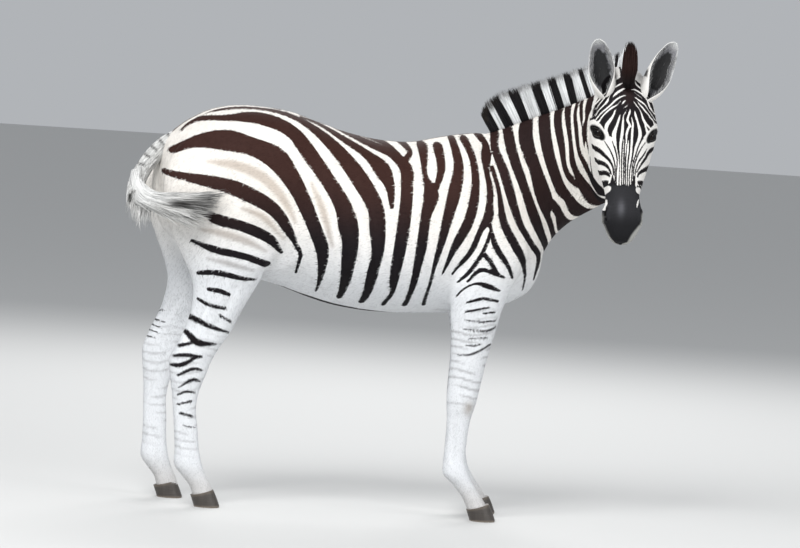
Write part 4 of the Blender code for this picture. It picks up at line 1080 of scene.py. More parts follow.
WHITE_WARM = (0.82, 0.785, 0.735)
WHITE_COOL = (0.74, 0.755, 0.775)
BLACK = (0.0080, 0.0060, 0.0075)
BROWN = (0.040, 0.0160, 0.0120)
SHADE = (0.40, 0.315, 0.245)
SHADE_COOL = (0.22, 0.215, 0.22)
# The dark muzzle, and the colour of the painted highlight and sheen on it.
MUZZLE_DARK = (0.0090, 0.0090, 0.0105)
MUZZLE_HIGHLIGHT = (0.100, 0.100, 0.110)
# Pale lip hair with a painted highlight on its rim.
PALE_LIT_LIP = (0.38, 0.38, 0.36)
# Dark bare skin, also used for the painted shade in the buttocks' cleft.
BARE_SKIN_AND_SHADE = (0.0040, 0.0035, 0.0040)
DUST = (0.33, 0.27, 0.21)
# Pale, dark and tip colours of each kind of long hair.
MANE_HAIR = ((0.82, 0.83, 0.835), (0.0095, 0.0080, 0.0095), (0.018, 0.014, 0.012))
FORELOCK_HAIR = ((0.7, 0.68, 0.66), (0.0080, 0.0050, 0.0050), (0.026, 0.0095, 0.0075))
TAIL_HAIR = ((0.78, 0.78, 0.765), (0.16, 0.145, 0.13), (0.030, 0.027, 0.026))
EAR_HAIR = ((0.42, 0.42, 0.42), (0.020, 0.019, 0.020), (0.5, 0.5, 0.5))


def tree_of(name):
    mat = bpy.data.materials.new(name)
    mat.use_nodes = True
    tree = mat.node_tree
    return mat, tree, tree.nodes["Principled BSDF"]


def set_input(node, key, value):
    """A socket's value, or a link when another socket is given."""
    if isinstance(value, bpy.types.NodeSocket):
        node.id_data.links.new(value, node.inputs[key])
    elif isinstance(value, tuple) and len(value) == 3 and node.inputs[key].type == "RGBA":
        node.inputs[key].default_value = (*value, 1.0)
    else:
        node.inputs[key].default_value = value


def set_inputs(node, **values):
    """Values or links of sockets, whose names have _ for a space."""
    for word, value in values.items():
        set_input(node, word.replace("_", " "), value)


def value_of(tree, word):
    node = tree.nodes.new("ShaderNodeAttribute")
    node.attribute_name = word
    return node.outputs["Fac"]


def calc(tree, operation, *values):
    node = tree.nodes.new("ShaderNodeMath")
    node.operation = operation
    for k, value in enumerate(values):
        set_input(node, k, value)
    return node.outputs[0]


def times(tree, a, b):
    return calc(tree, "MULTIPLY", a, b)


def noise(tree, scale, detail=3.0, stretch=(1.0, 1.0, 1.0)):
    place = tree.nodes.new("ShaderNodeTexCoord")
    turn = tree.nodes.new("ShaderNodeMapping")
    turn.inputs["Scale"].default_value = stretch
    set_inputs(turn, Vector=place.outputs["Object"])
    node = tree.nodes.new("ShaderNodeTexNoise")
    set_inputs(node, Scale=scale, Detail=detail, Vector=turn.outputs["Vector"])
    return node.outputs["Fac"]


def blend(tree, factor, low, high):
    node = tree.nodes.new("ShaderNodeMix")
    node.data_type = "RGBA"
    for key, value in ((0, factor), (6, low), (7, high)):
        set_input(node, key, value)
    return node.outputs[2]


def between_values(tree, value, low, high):
    """0 at low and 1 at high, smooth between."""
    node = tree.nodes.new("ShaderNodeMapRange")
    node.interpolation_type = "SMOOTHSTEP"
    set_inputs(node, Value=value, From_Min=low, From_Max=high)
    return node.outputs["Result"]


def levelled(tree, colour, value, spread, low):
    """A colour times low where the value is 0, and times low + spread where it is 1."""
    level = calc(tree, "ADD", times(tree, value, spread), low)
    scale = tree.nodes.new("ShaderNodeVectorMath")
    scale.operation = "SCALE"
    set_input(scale, 0, colour)
    set_input(scale, "Scale", level)
    return scale.outputs[0]


def bumped(tree, shader, height, strength, distance):
    node = tree.nodes.new("ShaderNodeBump")
    set_inputs(node, Strength=strength, Distance=distance, Height=height)
    set_inputs(shader, Normal=node.outputs["Normal"])


def coat_colour(tree, ragged, scatter):
    """The coat's colour from the values it carries. ragged is the raggedness of the stripes' edges."""
    names = ("mark", "muzzle", "shade", "brown", "cool", "painted_sheen", "bare_skin_and_shade", "dust", "pale_lit_lip")
    mark, muzzle, shade, brown, cool, painted_sheen, bare_skin_and_shade, dust, pale_lit_lip = (value_of(tree, w) for w in names)
    fine = noise(tree, 260.0, 2.0)
    broad = noise(tree, 9.0, 3.0)
    if ragged:
        mark = calc(tree, "ADD", mark, times(tree, calc(tree, "SUBTRACT", fine, 0.5), ragged))
    pale = between_values(tree, mark, -0.0006, 0.0008)
    white = blend(tree, cool, WHITE_WARM, WHITE_COOL)
    streak = blend(tree, cool, SHADE, SHADE_COOL)
    white = blend(tree, times(tree, shade, 0.62), white, streak)
    white = blend(tree, dust, white, DUST)
    dark = blend(tree, brown, BLACK, BROWN)
    warm = times(tree, between_values(tree, broad, 0.30, 0.75), brown)
    dark = blend(tree, times(tree, warm, 0.5), dark, BROWN)
    # Painted sheen and highlight on the dark muzzle.
    shine = blend(tree, painted_sheen, MUZZLE_DARK, MUZZLE_HIGHLIGHT)
    dark = blend(tree, between_values(tree, muzzle, 0.010, -0.006), dark, shine)
    # The lips' pale edges, partly pale hair and partly a painted highlight.
    dark = blend(tree, pale_lit_lip, dark, PALE_LIT_LIP)
    colour = blend(tree, pale, dark, white)
    # Dark bare skin of lids, nostrils, mouth and ears, and painted shade in the buttocks' cleft.
    return blend(tree, bare_skin_and_shade, levelled(tree, colour, fine, scatter, 1.0 - scatter / 2), BARE_SKIN_AND_SHADE)


def skin_material():
    mat, tree, shader = tree_of("striped_coat")
    rough = calc(tree, "SUBTRACT", 0.72, times(tree, value_of(tree, "bare_skin_and_shade"), 0.40))
    colour = coat_colour(tree, 0.0026, 0.16)
    set_inputs(shader, Base_Color=colour, Roughness=rough, Specular_IOR_Level=0.15)
    bumped(tree, shader, noise(tree, 330.0, 2.0, (1.0, 1.0, 0.30)), 0.30, 0.0010)
    return mat


def coat_material():
    mat, tree, shader = tree_of("coat_hair")
    colour = levelled(tree, coat_colour(tree, 0.0, 0.10), value_of(tree, "tone"), 0.34, 0.76)
    set_inputs(shader, Base_Color=colour, Roughness=0.66, Specular_IOR_Level=0.12)
    return mat


def hair_material(name, colours, roughness=0.6):
    """Long hair: pale to dark by the value mark, then to the tip colour by the value tip."""
    mat, tree, shader = tree_of(name)
    pale, dark, tip = colours
    colour = blend(tree, value_of(tree, "mark"), pale, dark)
    colour = blend(tree, value_of(tree, "tip"), colour, tip)
    streak = calc(tree, "ADD", value_of(tree, "tone"), times(tree, noise(tree, 420.0, 2.0), 0.30))
    colour = levelled(tree, colour, streak, 0.40, 0.72)
    set_inputs(shader, Base_Color=colour, Roughness=roughness, Specular_IOR_Level=0.18)
    return mat


def eye_material():
    """A dark brown eye with a lying oval pupil under a wet, clear surface."""
    mat, tree, shader = tree_of("eye")
    pupil = between_values(tree, value_of(tree, "pupil"), 0.90, 1.10)
    iris = blend(tree, noise(tree, 900.0), (0.0045, 0.0028, 0.0022), (0.010, 0.0055, 0.0040))
    iris = blend(tree, pupil, (0.0015, 0.0015, 0.0020), iris)
    rim = between_values(tree, value_of(tree, "iris"), 0.80, 0.98)
    colour = blend(tree, rim, iris, (0.012, 0.009, 0.008))
    set_inputs(shader, Base_Color=colour, Roughness=0.06, IOR=1.33, Specular_IOR_Level=0.3)
    set_inputs(shader, Coat_Weight=0.08, Coat_Roughness=0.03)
    return mat


def plain_material(name, colour, roughness):
    mat, _, shader = tree_of(name)
    set_inputs(shader, Base_Color=colour, Roughness=roughness)
    return mat


def hoof_material():
    """Dark horn, paler and browner at the coronet, with fine upright lines and growth rings."""
    mat, tree, shader = tree_of("hoof_horn")
    lines = noise(tree, 240.0, 3.0, (1.0, 1.0, 0.08))
    rings = noise(tree, 160.0, 2.0, (0.06, 0.06, 1.0))
    both = times(tree, calc(tree, "ADD", lines, rings), 0.5)
    horn = blend(tree, both, (0.020, 0.017, 0.015), (0.085, 0.072, 0.062))
    top = between_values(tree, value_of(tree, "tip"), 0.75, 1.0)
    horn = blend(tree, times(tree, top, 0.5), horn, (0.16, 0.13, 0.10))
    low = between_values(tree, value_of(tree, "tip"), 0.16, 0.0)
    set_inputs(shader, Base_Color=blend(tree, times(tree, low, 0.6), horn, DUST), Roughness=0.46)
    bumped(tree, shader, both, 0.6, 0.0010)
    return mat


def ear_material():
    """Grey hair, dark in the cup, white on the rim; behind, white with dark bands."""
    mat, tree, shader = tree_of("ear_coat")
    grey = noise(tree, 300.0)
    inner = blend(tree, grey, (0.09, 0.09, 0.10), (0.27, 0.27, 0.285))
    patchy = calc(tree, "SUBTRACT", noise(tree, 85.0), 0.5)
    patchy = calc(tree, "ADD", value_of(tree, "hollow"), patchy)
    colour = blend(tree, between_values(tree, patchy, 0.12, 0.55), inner, (0.006, 0.006, 0.007))
    colour = blend(tree, value_of(tree, "rim"), colour, (0.70, 0.71, 0.70))
    back = blend(tree, value_of(tree, "mark"), (0.74, 0.72, 0.69), (0.015, 0.012, 0.012))
    colour = blend(tree, value_of(tree, "back"), colour, back)
    set_inputs(shader, Base_Color=colour, Roughness=0.75, Sheen_Weight=0.12)
    bumped(tree, shader, grey, 0.5, 0.0012)
    return mat


# ---------------------------------------------------------------- locks of hair

PATCH = 0.0015  # half of a lock's own patch on the map
LOCK_TURN = 2.399963  # between one lock's roll and the next, which spreads them evenly
LOCK_SQUASH = 0.55  # a lock's thickness as a share of its width
LOCK_SIDES = 3


def locks(name, paths, radius, values):
    """Closed tapering locks along paths (locks, steps, 3), each flattened, ending in a point.

    values are one number for each lock, or one for each lock and step."""
    count, steps = paths.shape[:2]
    way = unit(np.gradient(paths, axis=1))
    helper = np.where(np.abs(way[:, :1, 2:]) > 0.9, (1.0, 0.0, 0.0), (0.0, 0.0, 1.0))
    side = unit(np.cross(way, np.broadcast_to(helper, way.shape)))
    roll = (np.arange(count) * LOCK_TURN)[:, None, None]
    first = side * np.cos(roll) + np.cross(way, side) * np.sin(roll)
    second = np.cross(way, first)
    turn = circle(LOCK_SIDES)[:, None]
    size = radius[:, :-1, None, None]
    ring = paths[:, :-1, None] + first[:, :-1, None] * (size * np.cos(turn))
    ring = ring + second[:, :-1, None] * (LOCK_SQUASH * size * np.sin(turn))
    points = np.concatenate([ring.reshape(count, -1, 3), paths[:, -1:]], axis=1)
    faces = [(0, 2, 1)]
    for i in range(steps - 1):
        for j in range(LOCK_SIDES):
            low, k = i * LOCK_SIDES, (j + 1) % LOCK_SIDES
            if i == steps - 2:
                faces.append((low + j, low + k, low + LOCK_SIDES))
            else:
                high = low + LOCK_SIDES
                faces += [(low + j, low + k, high + k), (low + j, high + k, high + j)]
    spread = {}
    for word, value in values.items():
        value = np.broadcast_to(np.reshape(value, (count, -1)), (count, steps))
        spread[word] = np.repeat(value, [LOCK_SIDES] * (steps - 1) + [1], axis=1).ravel()
    corners = patch(grid_uv(count), len(faces))
    return new_mesh(name, points, repeated(faces, count, points.shape[1]), spread, corners)


def repeated(faces, count, points):
    """The faces of one form, for count forms that have so many points each."""
    return (np.array(faces)[None] + points * np.arange(count)[:, None, None]).reshape(-1, 3)


def patch(uv, triangles):
    """Corners of a small patch at each lock's place on the map."""
    corner = np.array([(-PATCH, -PATCH), (PATCH, -PATCH), (0.0, PATCH)])
    spots = np.clip(uv, PATCH, 1 - PATCH)[:, None, None] + corner
    return np.broadcast_to(spots, (len(uv), triangles, 3, 2)).reshape(-1, 2)


def grid_uv(count):
    """Places on a map of a piece's own, in rows."""
    side = math.ceil(math.sqrt(count))
    k = np.arange(count)
    return columns((k % side + 0.5) / side, (k // side + 0.5) / side)


def tapering(size, u, *stops):
    """Each lock's radius along its way u. Stops are shares of the way and of its size."""
    return size[:, None] * np.interp(u, *np.array(stops).T)


# ---------------------------------------------------------------- mane and forelock

# The mane: share of the way from withers to poll, height, half width at its foot.
MANE = ((0.000, 0.070, 0.010), (0.045, 0.105, 0.015), (0.120, 0.118, 0.018), (0.350, 0.108, 0.019),
    (0.650, 0.099, 0.018), (0.900, 0.098, 0.017), (1.000, 0.098, 0.014))
MANE_START, MANE_END = 0.268, 0.845  # x of the crest's ends, before posing
MANE_SECTION = ((-0.20, 0.95), (0.10, 1.00), (0.50, 0.85), (0.85, 0.50), (1.00, 0.12))  # height, width
MANE_FOOT = -0.16  # share of their length where the locks begin, under the skin
MANE_LOCKS = 4200
MANE_STEPS = 7
# Where the mane's colour changes, as shares of the crest. It is dark before the first.
MANE_EDGES = (0.040, 0.068, 0.110, 0.152, 0.193, 0.253, 0.297, 0.335, 0.372, 0.408, 0.443, 0.492,
    0.522, 0.573, 0.600, 0.640, 0.675, 0.715, 0.745, 0.790, 0.815, 0.855, 0.875)
# Share of the crest, how far the locks lean forwards, share of their length where dark tips start.
MANE_LEAN = ((0.00, -0.20, 0.40), (0.04, -0.13, 0.72), (0.10, -0.12, 0.80), (0.15, -0.08, 0.82),
    (0.20, -0.03, 0.86), (0.30, 0.01, 0.88), (0.44, 0.04, 0.90), (0.50, -0.03, 0.93),
    (0.58, -0.10, 0.95), (1.00, -0.08, 0.96))

# The forelock: share of its height, half width.
FORELOCK = ((0.00, 0.013), (0.22, 0.019), (0.42, 0.0245), (0.60, 0.022), (0.80, 0.017), (1.00, 0.008))
FORELOCK_HEIGHT = 0.150
FORELOCK_FOOT = (HEAD_POLL[0] + 0.030, HEAD_POLL[1] - 0.055)
FORELOCK_LOCKS = 560
FORELOCK_STEPS = 8


def crest_line(count):
    """Points along the crest from the mane's rear end to the poll, and the way out of it."""
    top = between(metres(NECK)[:, :2], 400)
    top = top[(top[:, 0] > MANE_START) & (top[:, 0] < MANE_END)]
    top = np.concatenate([top, [(HEAD_POLL[0] + 0.004, HEAD_POLL[1] - 0.004)]])
    at = travelled(top)
    line = read_off(np.linspace(0, at[-1], count), at, top)
    way = unit(np.gradient(line, axis=0))
    return line, columns(-way[:, 1], way[:, 0])


def mane(rng):
    """The standing mane: locks along the crest in bands of dark and white, with dark tips."""
    n = MANE_LOCKS
    line, out = crest_line(401)
    share = np.linspace(0.0, 1.0, len(line))
    t = np.sort(rng.random(n))
    across = rng.uniform(-1.0, 1.0, n)
    height, half = read_off(t, np.array(MANE)[:, 0], np.array(MANE)[:, 1:]).T
    lean, dark_from = read_off(t, np.array(MANE_LEAN)[:, 0], np.array(MANE_LEAN)[:, 1:]).T
    foot, way = read_off(t, share, line), read_off(t, share, out)
    ahead = columns(way[:, 1], -way[:, 0])
    way = way * 0.98 + ahead * (lean + rng.normal(0.0, 0.018, n))[:, None]
    height = height * (1.0 - 0.10 * across**2) * rng.uniform(0.90, 1.03, n)
    u = np.linspace(MANE_FOOT, 1.0, MANE_STEPS)
    x, z = (foot[:, k, None] + (way[:, k] * height)[:, None] * u for k in (0, 1))
    wide = np.maximum(np.interp(u, *np.array(MANE_SECTION).T), 0.30)
    y = (across * half)[:, None] * wide * 0.95
    radius = tapering(rng.uniform(0.0018, 0.0030, n), u, (MANE_FOOT, 0.9), (0.5, 1.0), (1.0, 0.0))
    band = np.searchsorted(MANE_EDGES, t + rng.normal(0.0, 0.0012, n))
    start = dark_from + rng.normal(0.0, 0.035, n)
    tip = np.clip((u - start[:, None]) / 0.10, 0.0, 1.0)
    values = {"mark": 1.0 * (band % 2 == 0), "tip": tip, "tone": rng.random(n)}
    return locks("mane", posed(columns(x, y, z)), radius, values)


def forelock(rng):
    """The mane's front tuft, a dark brown spindle that stands on the poll."""
    n = FORELOCK_LOCKS
    u = np.linspace(0.0, 1.0, FORELOCK_STEPS)
    turn = rng.random(n) * 2 * math.pi
    out = np.sqrt(rng.random(n))
    t = u * (rng.uniform(0.70, 1.04, n) ** 0.7)[:, None]
    half = np.interp(t, *np.array(FORELOCK).T)
    loose = rng.normal(0.0, 0.0035, (2, n, 1)) * u**2
    forward = 0.012 * np.sin(math.pi * t) + 0.9 * half * (out * np.cos(turn))[:, None]
    x = FORELOCK_FOOT[0] + forward + loose[0]
    y = half * (out * np.sin(turn))[:, None] + loose[1]
    z = FORELOCK_FOOT[1] + FORELOCK_HEIGHT * t
    radius = tapering(rng.uniform(0.0017, 0.0026, n), u, (0.0, 1.0), (0.75, 0.9), (1.0, 0.0))
    rusty = ramp(t, 0.10, 0.45) * ramp(t, 1.05, 0.85)
    values = {"mark": np.ones(n), "tip": 0.8 * rusty, "tone": rng.random(n)}
    return locks("forelock", on_head(columns(x, y, z)), radius, values)


# ---------------------------------------------------------------- tail

DOCK_END = 0.36  # share of the tail's way where the bony dock ends
DOCK_RINGS = 21
DOCK_BARS = (0.045, 0.085, 0.125, 0.165, 0.205, 0.250)  # shares of the way with a short dark bar
BAR_TURN = 0.6  # the bars lie round this side of the dock, above and behind
TAIL_COAT = 3200
TAIL_LOCKS = 3000
WISPS = 460
TAIL_STEPS = 10  # of its locks
WISP_STEPS = 7
# The switch spreads between two curves, an upper and a lower, before the origin's shift.
SWITCH_TOP = [(-876, -20, 1095), (-880, -55, 1054), (-865, -105, 1028), (-832, -180, 1014),
    (-783, -245, 1016), (-706, -283, 1022), (-610, -270, 1030)]
SWITCH_FOOT = [(-909, -20, 1080), (-914, -45, 1034), (-900, -90, 992), (-862, -170, 970), (-810, -235, 952),
    (-748, -275, 934), (-685, -268, 912)]


def tail_frames(count):
    """The tail's middle line and radius, and the ways to its side and out above it."""
    path = between(metres(TAIL), count)
    lifted = ramp(np.linspace(0.0, 1.0, count), 0.5, 0.2)
    centre = path[:, :3] + ORIGIN_SHIFT + np.outer(lifted, (0.008, 0.0, -0.010))
    sides, ups = [], []
    side = np.array([0.0, 1.0, 0.0])
    for along in unit(np.gradient(centre, axis=0)):
        side = unit(across_from(side, along))
        sides.append(side)
        ups.append(np.cross(side, along))
    return centre, np.array(sides), np.array(ups), path[:, 3]


def dock():
    """The tail's bony root: a tapering rod sunk in the rump."""
    centre, side, up, radius = tail_frames(61)
    turn = circle(24)
    stops, sizes = (0, 6, 10, DOCK_RINGS - 1), (0.45, 0.72, 0.76, 0.15)
    rings = []
    for k in range(DOCK_RINGS):
        ring = np.outer(np.cos(turn), side[k]) + np.outer(np.sin(turn), up[k])
        rings.append(centre[k] + radius[k] * np.interp(k, stops, sizes) * ring)
    obj = loft("tail_core", rings)
    store(obj.data, {"mark": 0.02, "muzzle": 0.05, "cool": 0.35})
    store(obj.data, dict.fromkeys(("shade", "brown", "painted_sheen", "bare_skin_and_shade", "dust", "pale_lit_lip"), 0.0))
    obj.data.shade_smooth()
    return obj


def tail_coat(rng):
    """Short hair that lies along the dock and runs over into the switch."""
    n = TAIL_COAT
    centre, side, up, thick = tail_frames(241)
    share = np.linspace(0.0, 1.0, 241)
    start = rng.uniform(-0.02, DOCK_END, n)
    length = rng.uniform(0.045, 0.090, n) * np.interp(start, (0.0, 0.3), (0.7, 1.3))
    turn = rng.random(n) * 2 * math.pi
    u = np.linspace(0.0, 1.0, TAIL_STEPS)
    t = np.clip(start[:, None] + length[:, None] * u, 0.0, 1.0)
    out = np.interp(t, share, thick) * np.interp(t, (0.0, 0.15), (0.50, 0.95))
    out = out * np.interp(u, (0.0, 0.5, 1.0), (0.72, 0.93, 1.02)) * rng.uniform(0.93, 1.05, n)[:, None]
    beside = read_off(t, share, side) * (out * np.cos(turn)[:, None])[..., None]
    above = read_off(t, share, up) * (out * np.sin(turn)[:, None])[..., None]
    paths = read_off(t, share, centre) + beside + above
    radius = tapering(rng.uniform(0.0018, 0.0032, n), u, (0.0, 0.7), (0.5, 1.0), (1.0, 0.0))
    bar = np.max([ramp(np.abs(t - place), 0.0075, 0.0030) for place in DOCK_BARS], axis=0)
    bar = bar * (ramp(np.sin(turn - BAR_TURN), 0.50, 0.90) * ramp(rng.random(n), 0.0, 0.4))[:, None]
    values = {"mark": 0.12 * rng.random(n), "tip": 0.85 * bar, "tone": rng.random(n)}
    return locks("tail_coat", paths, radius, values)


def switch_curves():
    """The switch's upper and lower curve, and each point's share of the way."""
    top, foot = (between(metres(rows), 101) + ORIGIN_SHIFT for rows in (SWITCH_TOP, SWITCH_FOOT))
    return np.linspace(0.0, 1.0, 101), top, foot


def switch(rng):
    """The tail's long hair: a loose fan of locks that sweeps round onto the thigh."""
    n = TAIL_LOCKS
    share, top, foot = switch_curves()
    start = 0.62 * rng.random(n) ** 1.35
    length = np.minimum(rng.uniform(0.30, 0.62, n), rng.uniform(0.86, 1.03, n) - start)
    at_end = ramp(start + length, 0.55, 0.95)[:, None]
    s = rng.beta(1.05, 1.05, n)
    u = np.linspace(0.0, 1.0, TAIL_STEPS)
    t = np.clip(start[:, None] + length[:, None] * u, 0.0, 1.0)
    across = s[:, None] + rng.normal(0.0, 0.10, n)[:, None] * u
    low = across[..., None]
    paths = read_off(t, share, top) * (1 - low) + read_off(t, share, foot) * low
    deep = np.sin(rng.uniform(-1.6, 1.6, n)) * np.sqrt(np.maximum(0.05, 1 - (2 * s - 1) ** 2))
    thick = np.interp(t, (0.0, 0.2, 0.6, 1.0), (0.026, 0.034, 0.030, 0.012))
    paths[:, :, 1] += deep[:, None] * thick + 0.004 * at_end * np.sin(5.0 * u + 20.0 * s[:, None])
    wave = rng.uniform(0.0, 6.3, n)[:, None]
    paths[:, :, 2] += 0.003 * np.sin(6.0 * u + wave) * u
    radius = tapering(rng.uniform(0.0016, 0.0032, n), u, (0.0, 0.7), (0.5, 1.0), (1.0, 0.0))
    grey = 0.30 * ramp(t, 0.42, 0.62) * rng.uniform(0.5, 1.2, n)[:, None]
    dark = hump(t, 0.70, 0.10) * hump(across, 0.42, 0.16)
    brown = 0.55 * ramp(t, 0.66, 0.88) * ramp(across, 0.75, 0.35)
    tip = np.clip(1.1 * dark + brown, 0.0, 0.95)
    values = {"mark": np.clip(grey, 0.0, 0.6), "tip": tip, "tone": rng.random(n)}
    return locks("tail_hair", paths, radius, values)


def wisps(rng):
    """Loose long hairs that hang from the tail's bend."""
    n = WISPS
    share, top, foot = switch_curves()
    t = rng.uniform(0.0, 0.42, n)
    low = rng.uniform(0.0, 1.0, n)[:, None]
    spot = read_off(t, share, foot) * low + read_off(t, share, top) * (1 - low)
    u = np.linspace(0.0, 1.0, WISP_STEPS)
    length = rng.uniform(0.05, 0.115, n) * ramp(t, 0.60, 0.30)
    drift = columns(rng.normal(0.04, 0.11, n), rng.normal(-0.08, 0.12, n), -1.0)
    paths = spot[:, None] + length[:, None, None] * drift[:, None] * (u**1.1)[:, None]
    paths[:, :, 0] += 0.010 * np.sin(2.6 * u) * rng.normal(0.0, 0.5, n)[:, None]
    radius = tapering(rng.uniform(0.0012, 0.0024, n), u, (0.0, 1.0), (0.4, 0.9), (1.0, 0.0))
    values = {"mark": 0.20 * rng.random(n), "tip": np.zeros(n), "tone": rng.random(n)}
    return locks("tail_wisps", paths, radius, values)


# ---------------------------------------------------------------- ears

# Before posing: roots and tips (forward, left, up), facing forward and outward.
EAR_ROOT = (0.912, 0.064, 1.430)
EAR_TIPS = {"right": (0.905, -0.102, 1.607), "left": (0.895, 0.158, 1.612)}
EAR_WIDTH = 0.083
EAR_PROFILE = ((0.00, 0.44), (0.10, 0.70), (0.20, 0.86), (0.30, 0.94), (0.45, 1.00), (0.60, 0.96),
    (0.70, 0.885), (0.80, 0.745), (0.90, 0.58), (0.95, 0.455), (1.00, 0.22))  # shares of way and width
EAR_ROLL_AT_ROOT = math.radians(178.0)  # half the turn that the leaf is rolled through
EAR_ROLL_AT_TIP = math.radians(50.0)
EAR_SUNK = 0.012  # how far the root reaches into the head
EAR_HALF_THICKNESS = 0.0022
EAR_ROWS = 46
EAR_COLUMNS = 33
EAR_HAIRS = 420
FINE_STEPS = 5  # of ear hairs and lashes
LASHES = 46  # of each eye


def sign_of(word):
    """The left of the body is +Y."""
    return 1.0 if word == "left" else -1.0


def ear_line(word):
    """An ear's root, its length and the way to its tip."""
    root = np.array(EAR_ROOT) * (1.0, sign_of(word), 1.0)
    way = np.array(EAR_TIPS[word]) - root
    length = np.linalg.norm(way)
    return root, length, way / length


def ear_points(word, rows, width):
    """The ear's leaf as rows of points from root to tip, before posing, with the ways ahead and up."""
    root, length, along = ear_line(word)
    front = unit(across_from(np.array([0.97, 0.25 * sign_of(word), 0.0]), along))
    across = np.cross(front, along)
    u = 1 - (1 - np.linspace(0.0, 1.0, rows)) ** 1.25
    wide = EAR_WIDTH * np.interp(u, *between(EAR_PROFILE, 201).T)
    over = np.clip((u - 0.90) / 0.103, 0.0, 1.0)
    wide = wide * np.sqrt(np.maximum(0.03, 1 - 0.8 * over**2.5))
    roll = EAR_ROLL_AT_TIP + (EAR_ROLL_AT_ROOT - EAR_ROLL_AT_TIP) * (1 - u) ** 1.5
    radius = wide / (2 * np.sin(np.minimum(roll, math.pi / 2)))
    turn = roll[:, None] * np.linspace(-1.0, 1.0, width)
    out = radius[:, None] * np.sin(turn)
    fore = radius[:, None] * (1 - np.cos(turn)) - 0.35 * wide[:, None]
    up = (length + EAR_SUNK) * u[:, None, None] - EAR_SUNK
    return root + along * up + across * out[..., None] + front * fore[..., None], front, along


def ear(word):
    """A cupped ear with an inner and an outer face and a rounded rim."""
    inner, front, _ = ear_points(word, EAR_ROWS, EAR_COLUMNS)
    normal = unit(np.cross(np.gradient(inner, axis=1), np.gradient(inner, axis=0)))
    normal *= np.sign((normal @ front).mean())
    share = np.linspace(0.0, 1.0, EAR_ROWS)[:, None]
    u, v = np.broadcast_arrays(share, np.linspace(-1.0, 1.0, EAR_COLUMNS))
    edge = np.minimum(1 - np.abs(v), (1 - u) * 1.6)
    thick = normal * (EAR_HALF_THICKNESS * np.sqrt(np.clip(edge / 0.12, 0.05, 1.0)))[..., None]
    points = np.stack([inner + thick, inner - thick])
    n = EAR_ROWS * EAR_COLUMNS
    quads = grid_faces(EAR_ROWS, EAR_COLUMNS)
    index = np.arange(n).reshape(EAR_ROWS, EAR_COLUMNS)
    ring = np.concatenate([index[0], index[1:, -1], index[-1, -2::-1], index[-2:0:-1, 0]])
    after = np.roll(ring, -1)
    faces = np.concatenate([quads, quads[:, ::-1] + n, columns(after, ring, ring + n, after + n)])
    cup = hump(v, -0.13 * sign_of(word), 0.46) * ramp(u, 0.10, 0.30) * ramp(u, 0.86, 0.60)
    rim = np.maximum(0.55 * ramp(edge, 0.22, 0.02) * ramp(u, 0.02, 0.16), 0.75 * ramp(u, 0.80, 0.97))
    bands = ramp(u, 0.50, 0.54) * ramp(u, 0.86, 0.82), ramp(u, 0.24, 0.27) * ramp(u, 0.37, 0.34)
    mark = np.maximum(*bands) * ramp(1 - np.abs(v), 0.06, 0.16)
    values = {"hollow": np.clip(1.15 * cup, 0.0, 1.0), "rim": rim, "mark": mark}
    values = {name: np.tile(value.ravel(), 2) for name, value in values.items()}
    values["back"] = np.repeat([0.0, 1.0], n)
    flat = columns((v.ravel() + 1) * 0.24 + 0.01, u.ravel() * 0.97 + 0.01)
    uv = np.concatenate([flat, flat + (0.50, 0.0)])[faces]
    obj = new_mesh("ear_coat_" + word, on_head(points), faces, values, uv)
    turn_outward(obj.data)
    return obj


def in_the_ear(points, word):
    """1 at points that lie in an ear's cup, which is dark."""
    root, length, way = ear_line(word)
    u = (points - root) @ way / length
    away = np.linalg.norm(points - root - u[:, None] * length * way, axis=1)
    cup = 0.42 * EAR_WIDTH * np.interp(u, *np.array(EAR_PROFILE).T)
    return ramp(away - cup, 0.002, -0.002) * ramp(u, -0.02, 0.03)


def ear_hair(word, rng):
    """Long pale hairs from the ear's rims across its cup, and short ones along its edge."""
    n = EAR_HAIRS
    grid, front, along = ear_points(word, 60, 61)
    u = rng.uniform(0.04, 0.72, n)
    edge = rng.random(n) < 0.86
    inside = np.where(rng.random(n) < 0.72, sign_of(word), -sign_of(word))
    v = np.where(edge, inside * rng.uniform(0.55, 0.98, n), rng.uniform(-0.7, 0.7, n))
    row = np.clip((u * 59).astype(int), 0, 58)
    column = np.clip(((v + 1) * 30).astype(int), 0, 60)
    root = grid[row, column]
    centre = grid[np.minimum(row + 8, 59), 30] + front * 0.012
    t = np.linspace(0.0, 1.0, FINE_STEPS)
    length = rng.uniform(0.012, 0.026, n) * np.where(edge, 1.0, 0.7)
    way = unit(centre - root) * 0.75 + along * rng.uniform(0.5, 1.0, n)[:, None]
    way = unit(way + front * rng.uniform(0.1, 0.5, n)[:, None])
    bent = way[:, None] * t[:, None] + along * (0.25 * t**2)[:, None]
    path = root[:, None] + length[:, None, None] * bent
    radius = tapering(rng.uniform(0.0008, 0.0014, n), t, (0.0, 0.7), (0.4, 1.0), (1.0, 0.0))
    mark = np.where(edge, 0.35 * rng.random(n), rng.uniform(0.7, 1.0, n))
    values = {"mark": mark, "tip": np.zeros(n), "tone": rng.random(n)}
    return locks("ear_hair_" + word, on_head(path), radius, values)


# ---------------------------------------------------------------- eyes and hooves

# Hooves: the middle of the sole of each pair, half length of the sole, half width, height of the
# coronet in the middle and its slope up to the toe.
FEET = {"fore": (0.305, 0.132), "hind": (-0.607, 0.124)}
HOOF_HALF_LENGTH = 0.043
HOOF_HALF_WIDTH = 0.040
CORONET_HEIGHT = 0.052
CORONET_SLOPE = 0.30


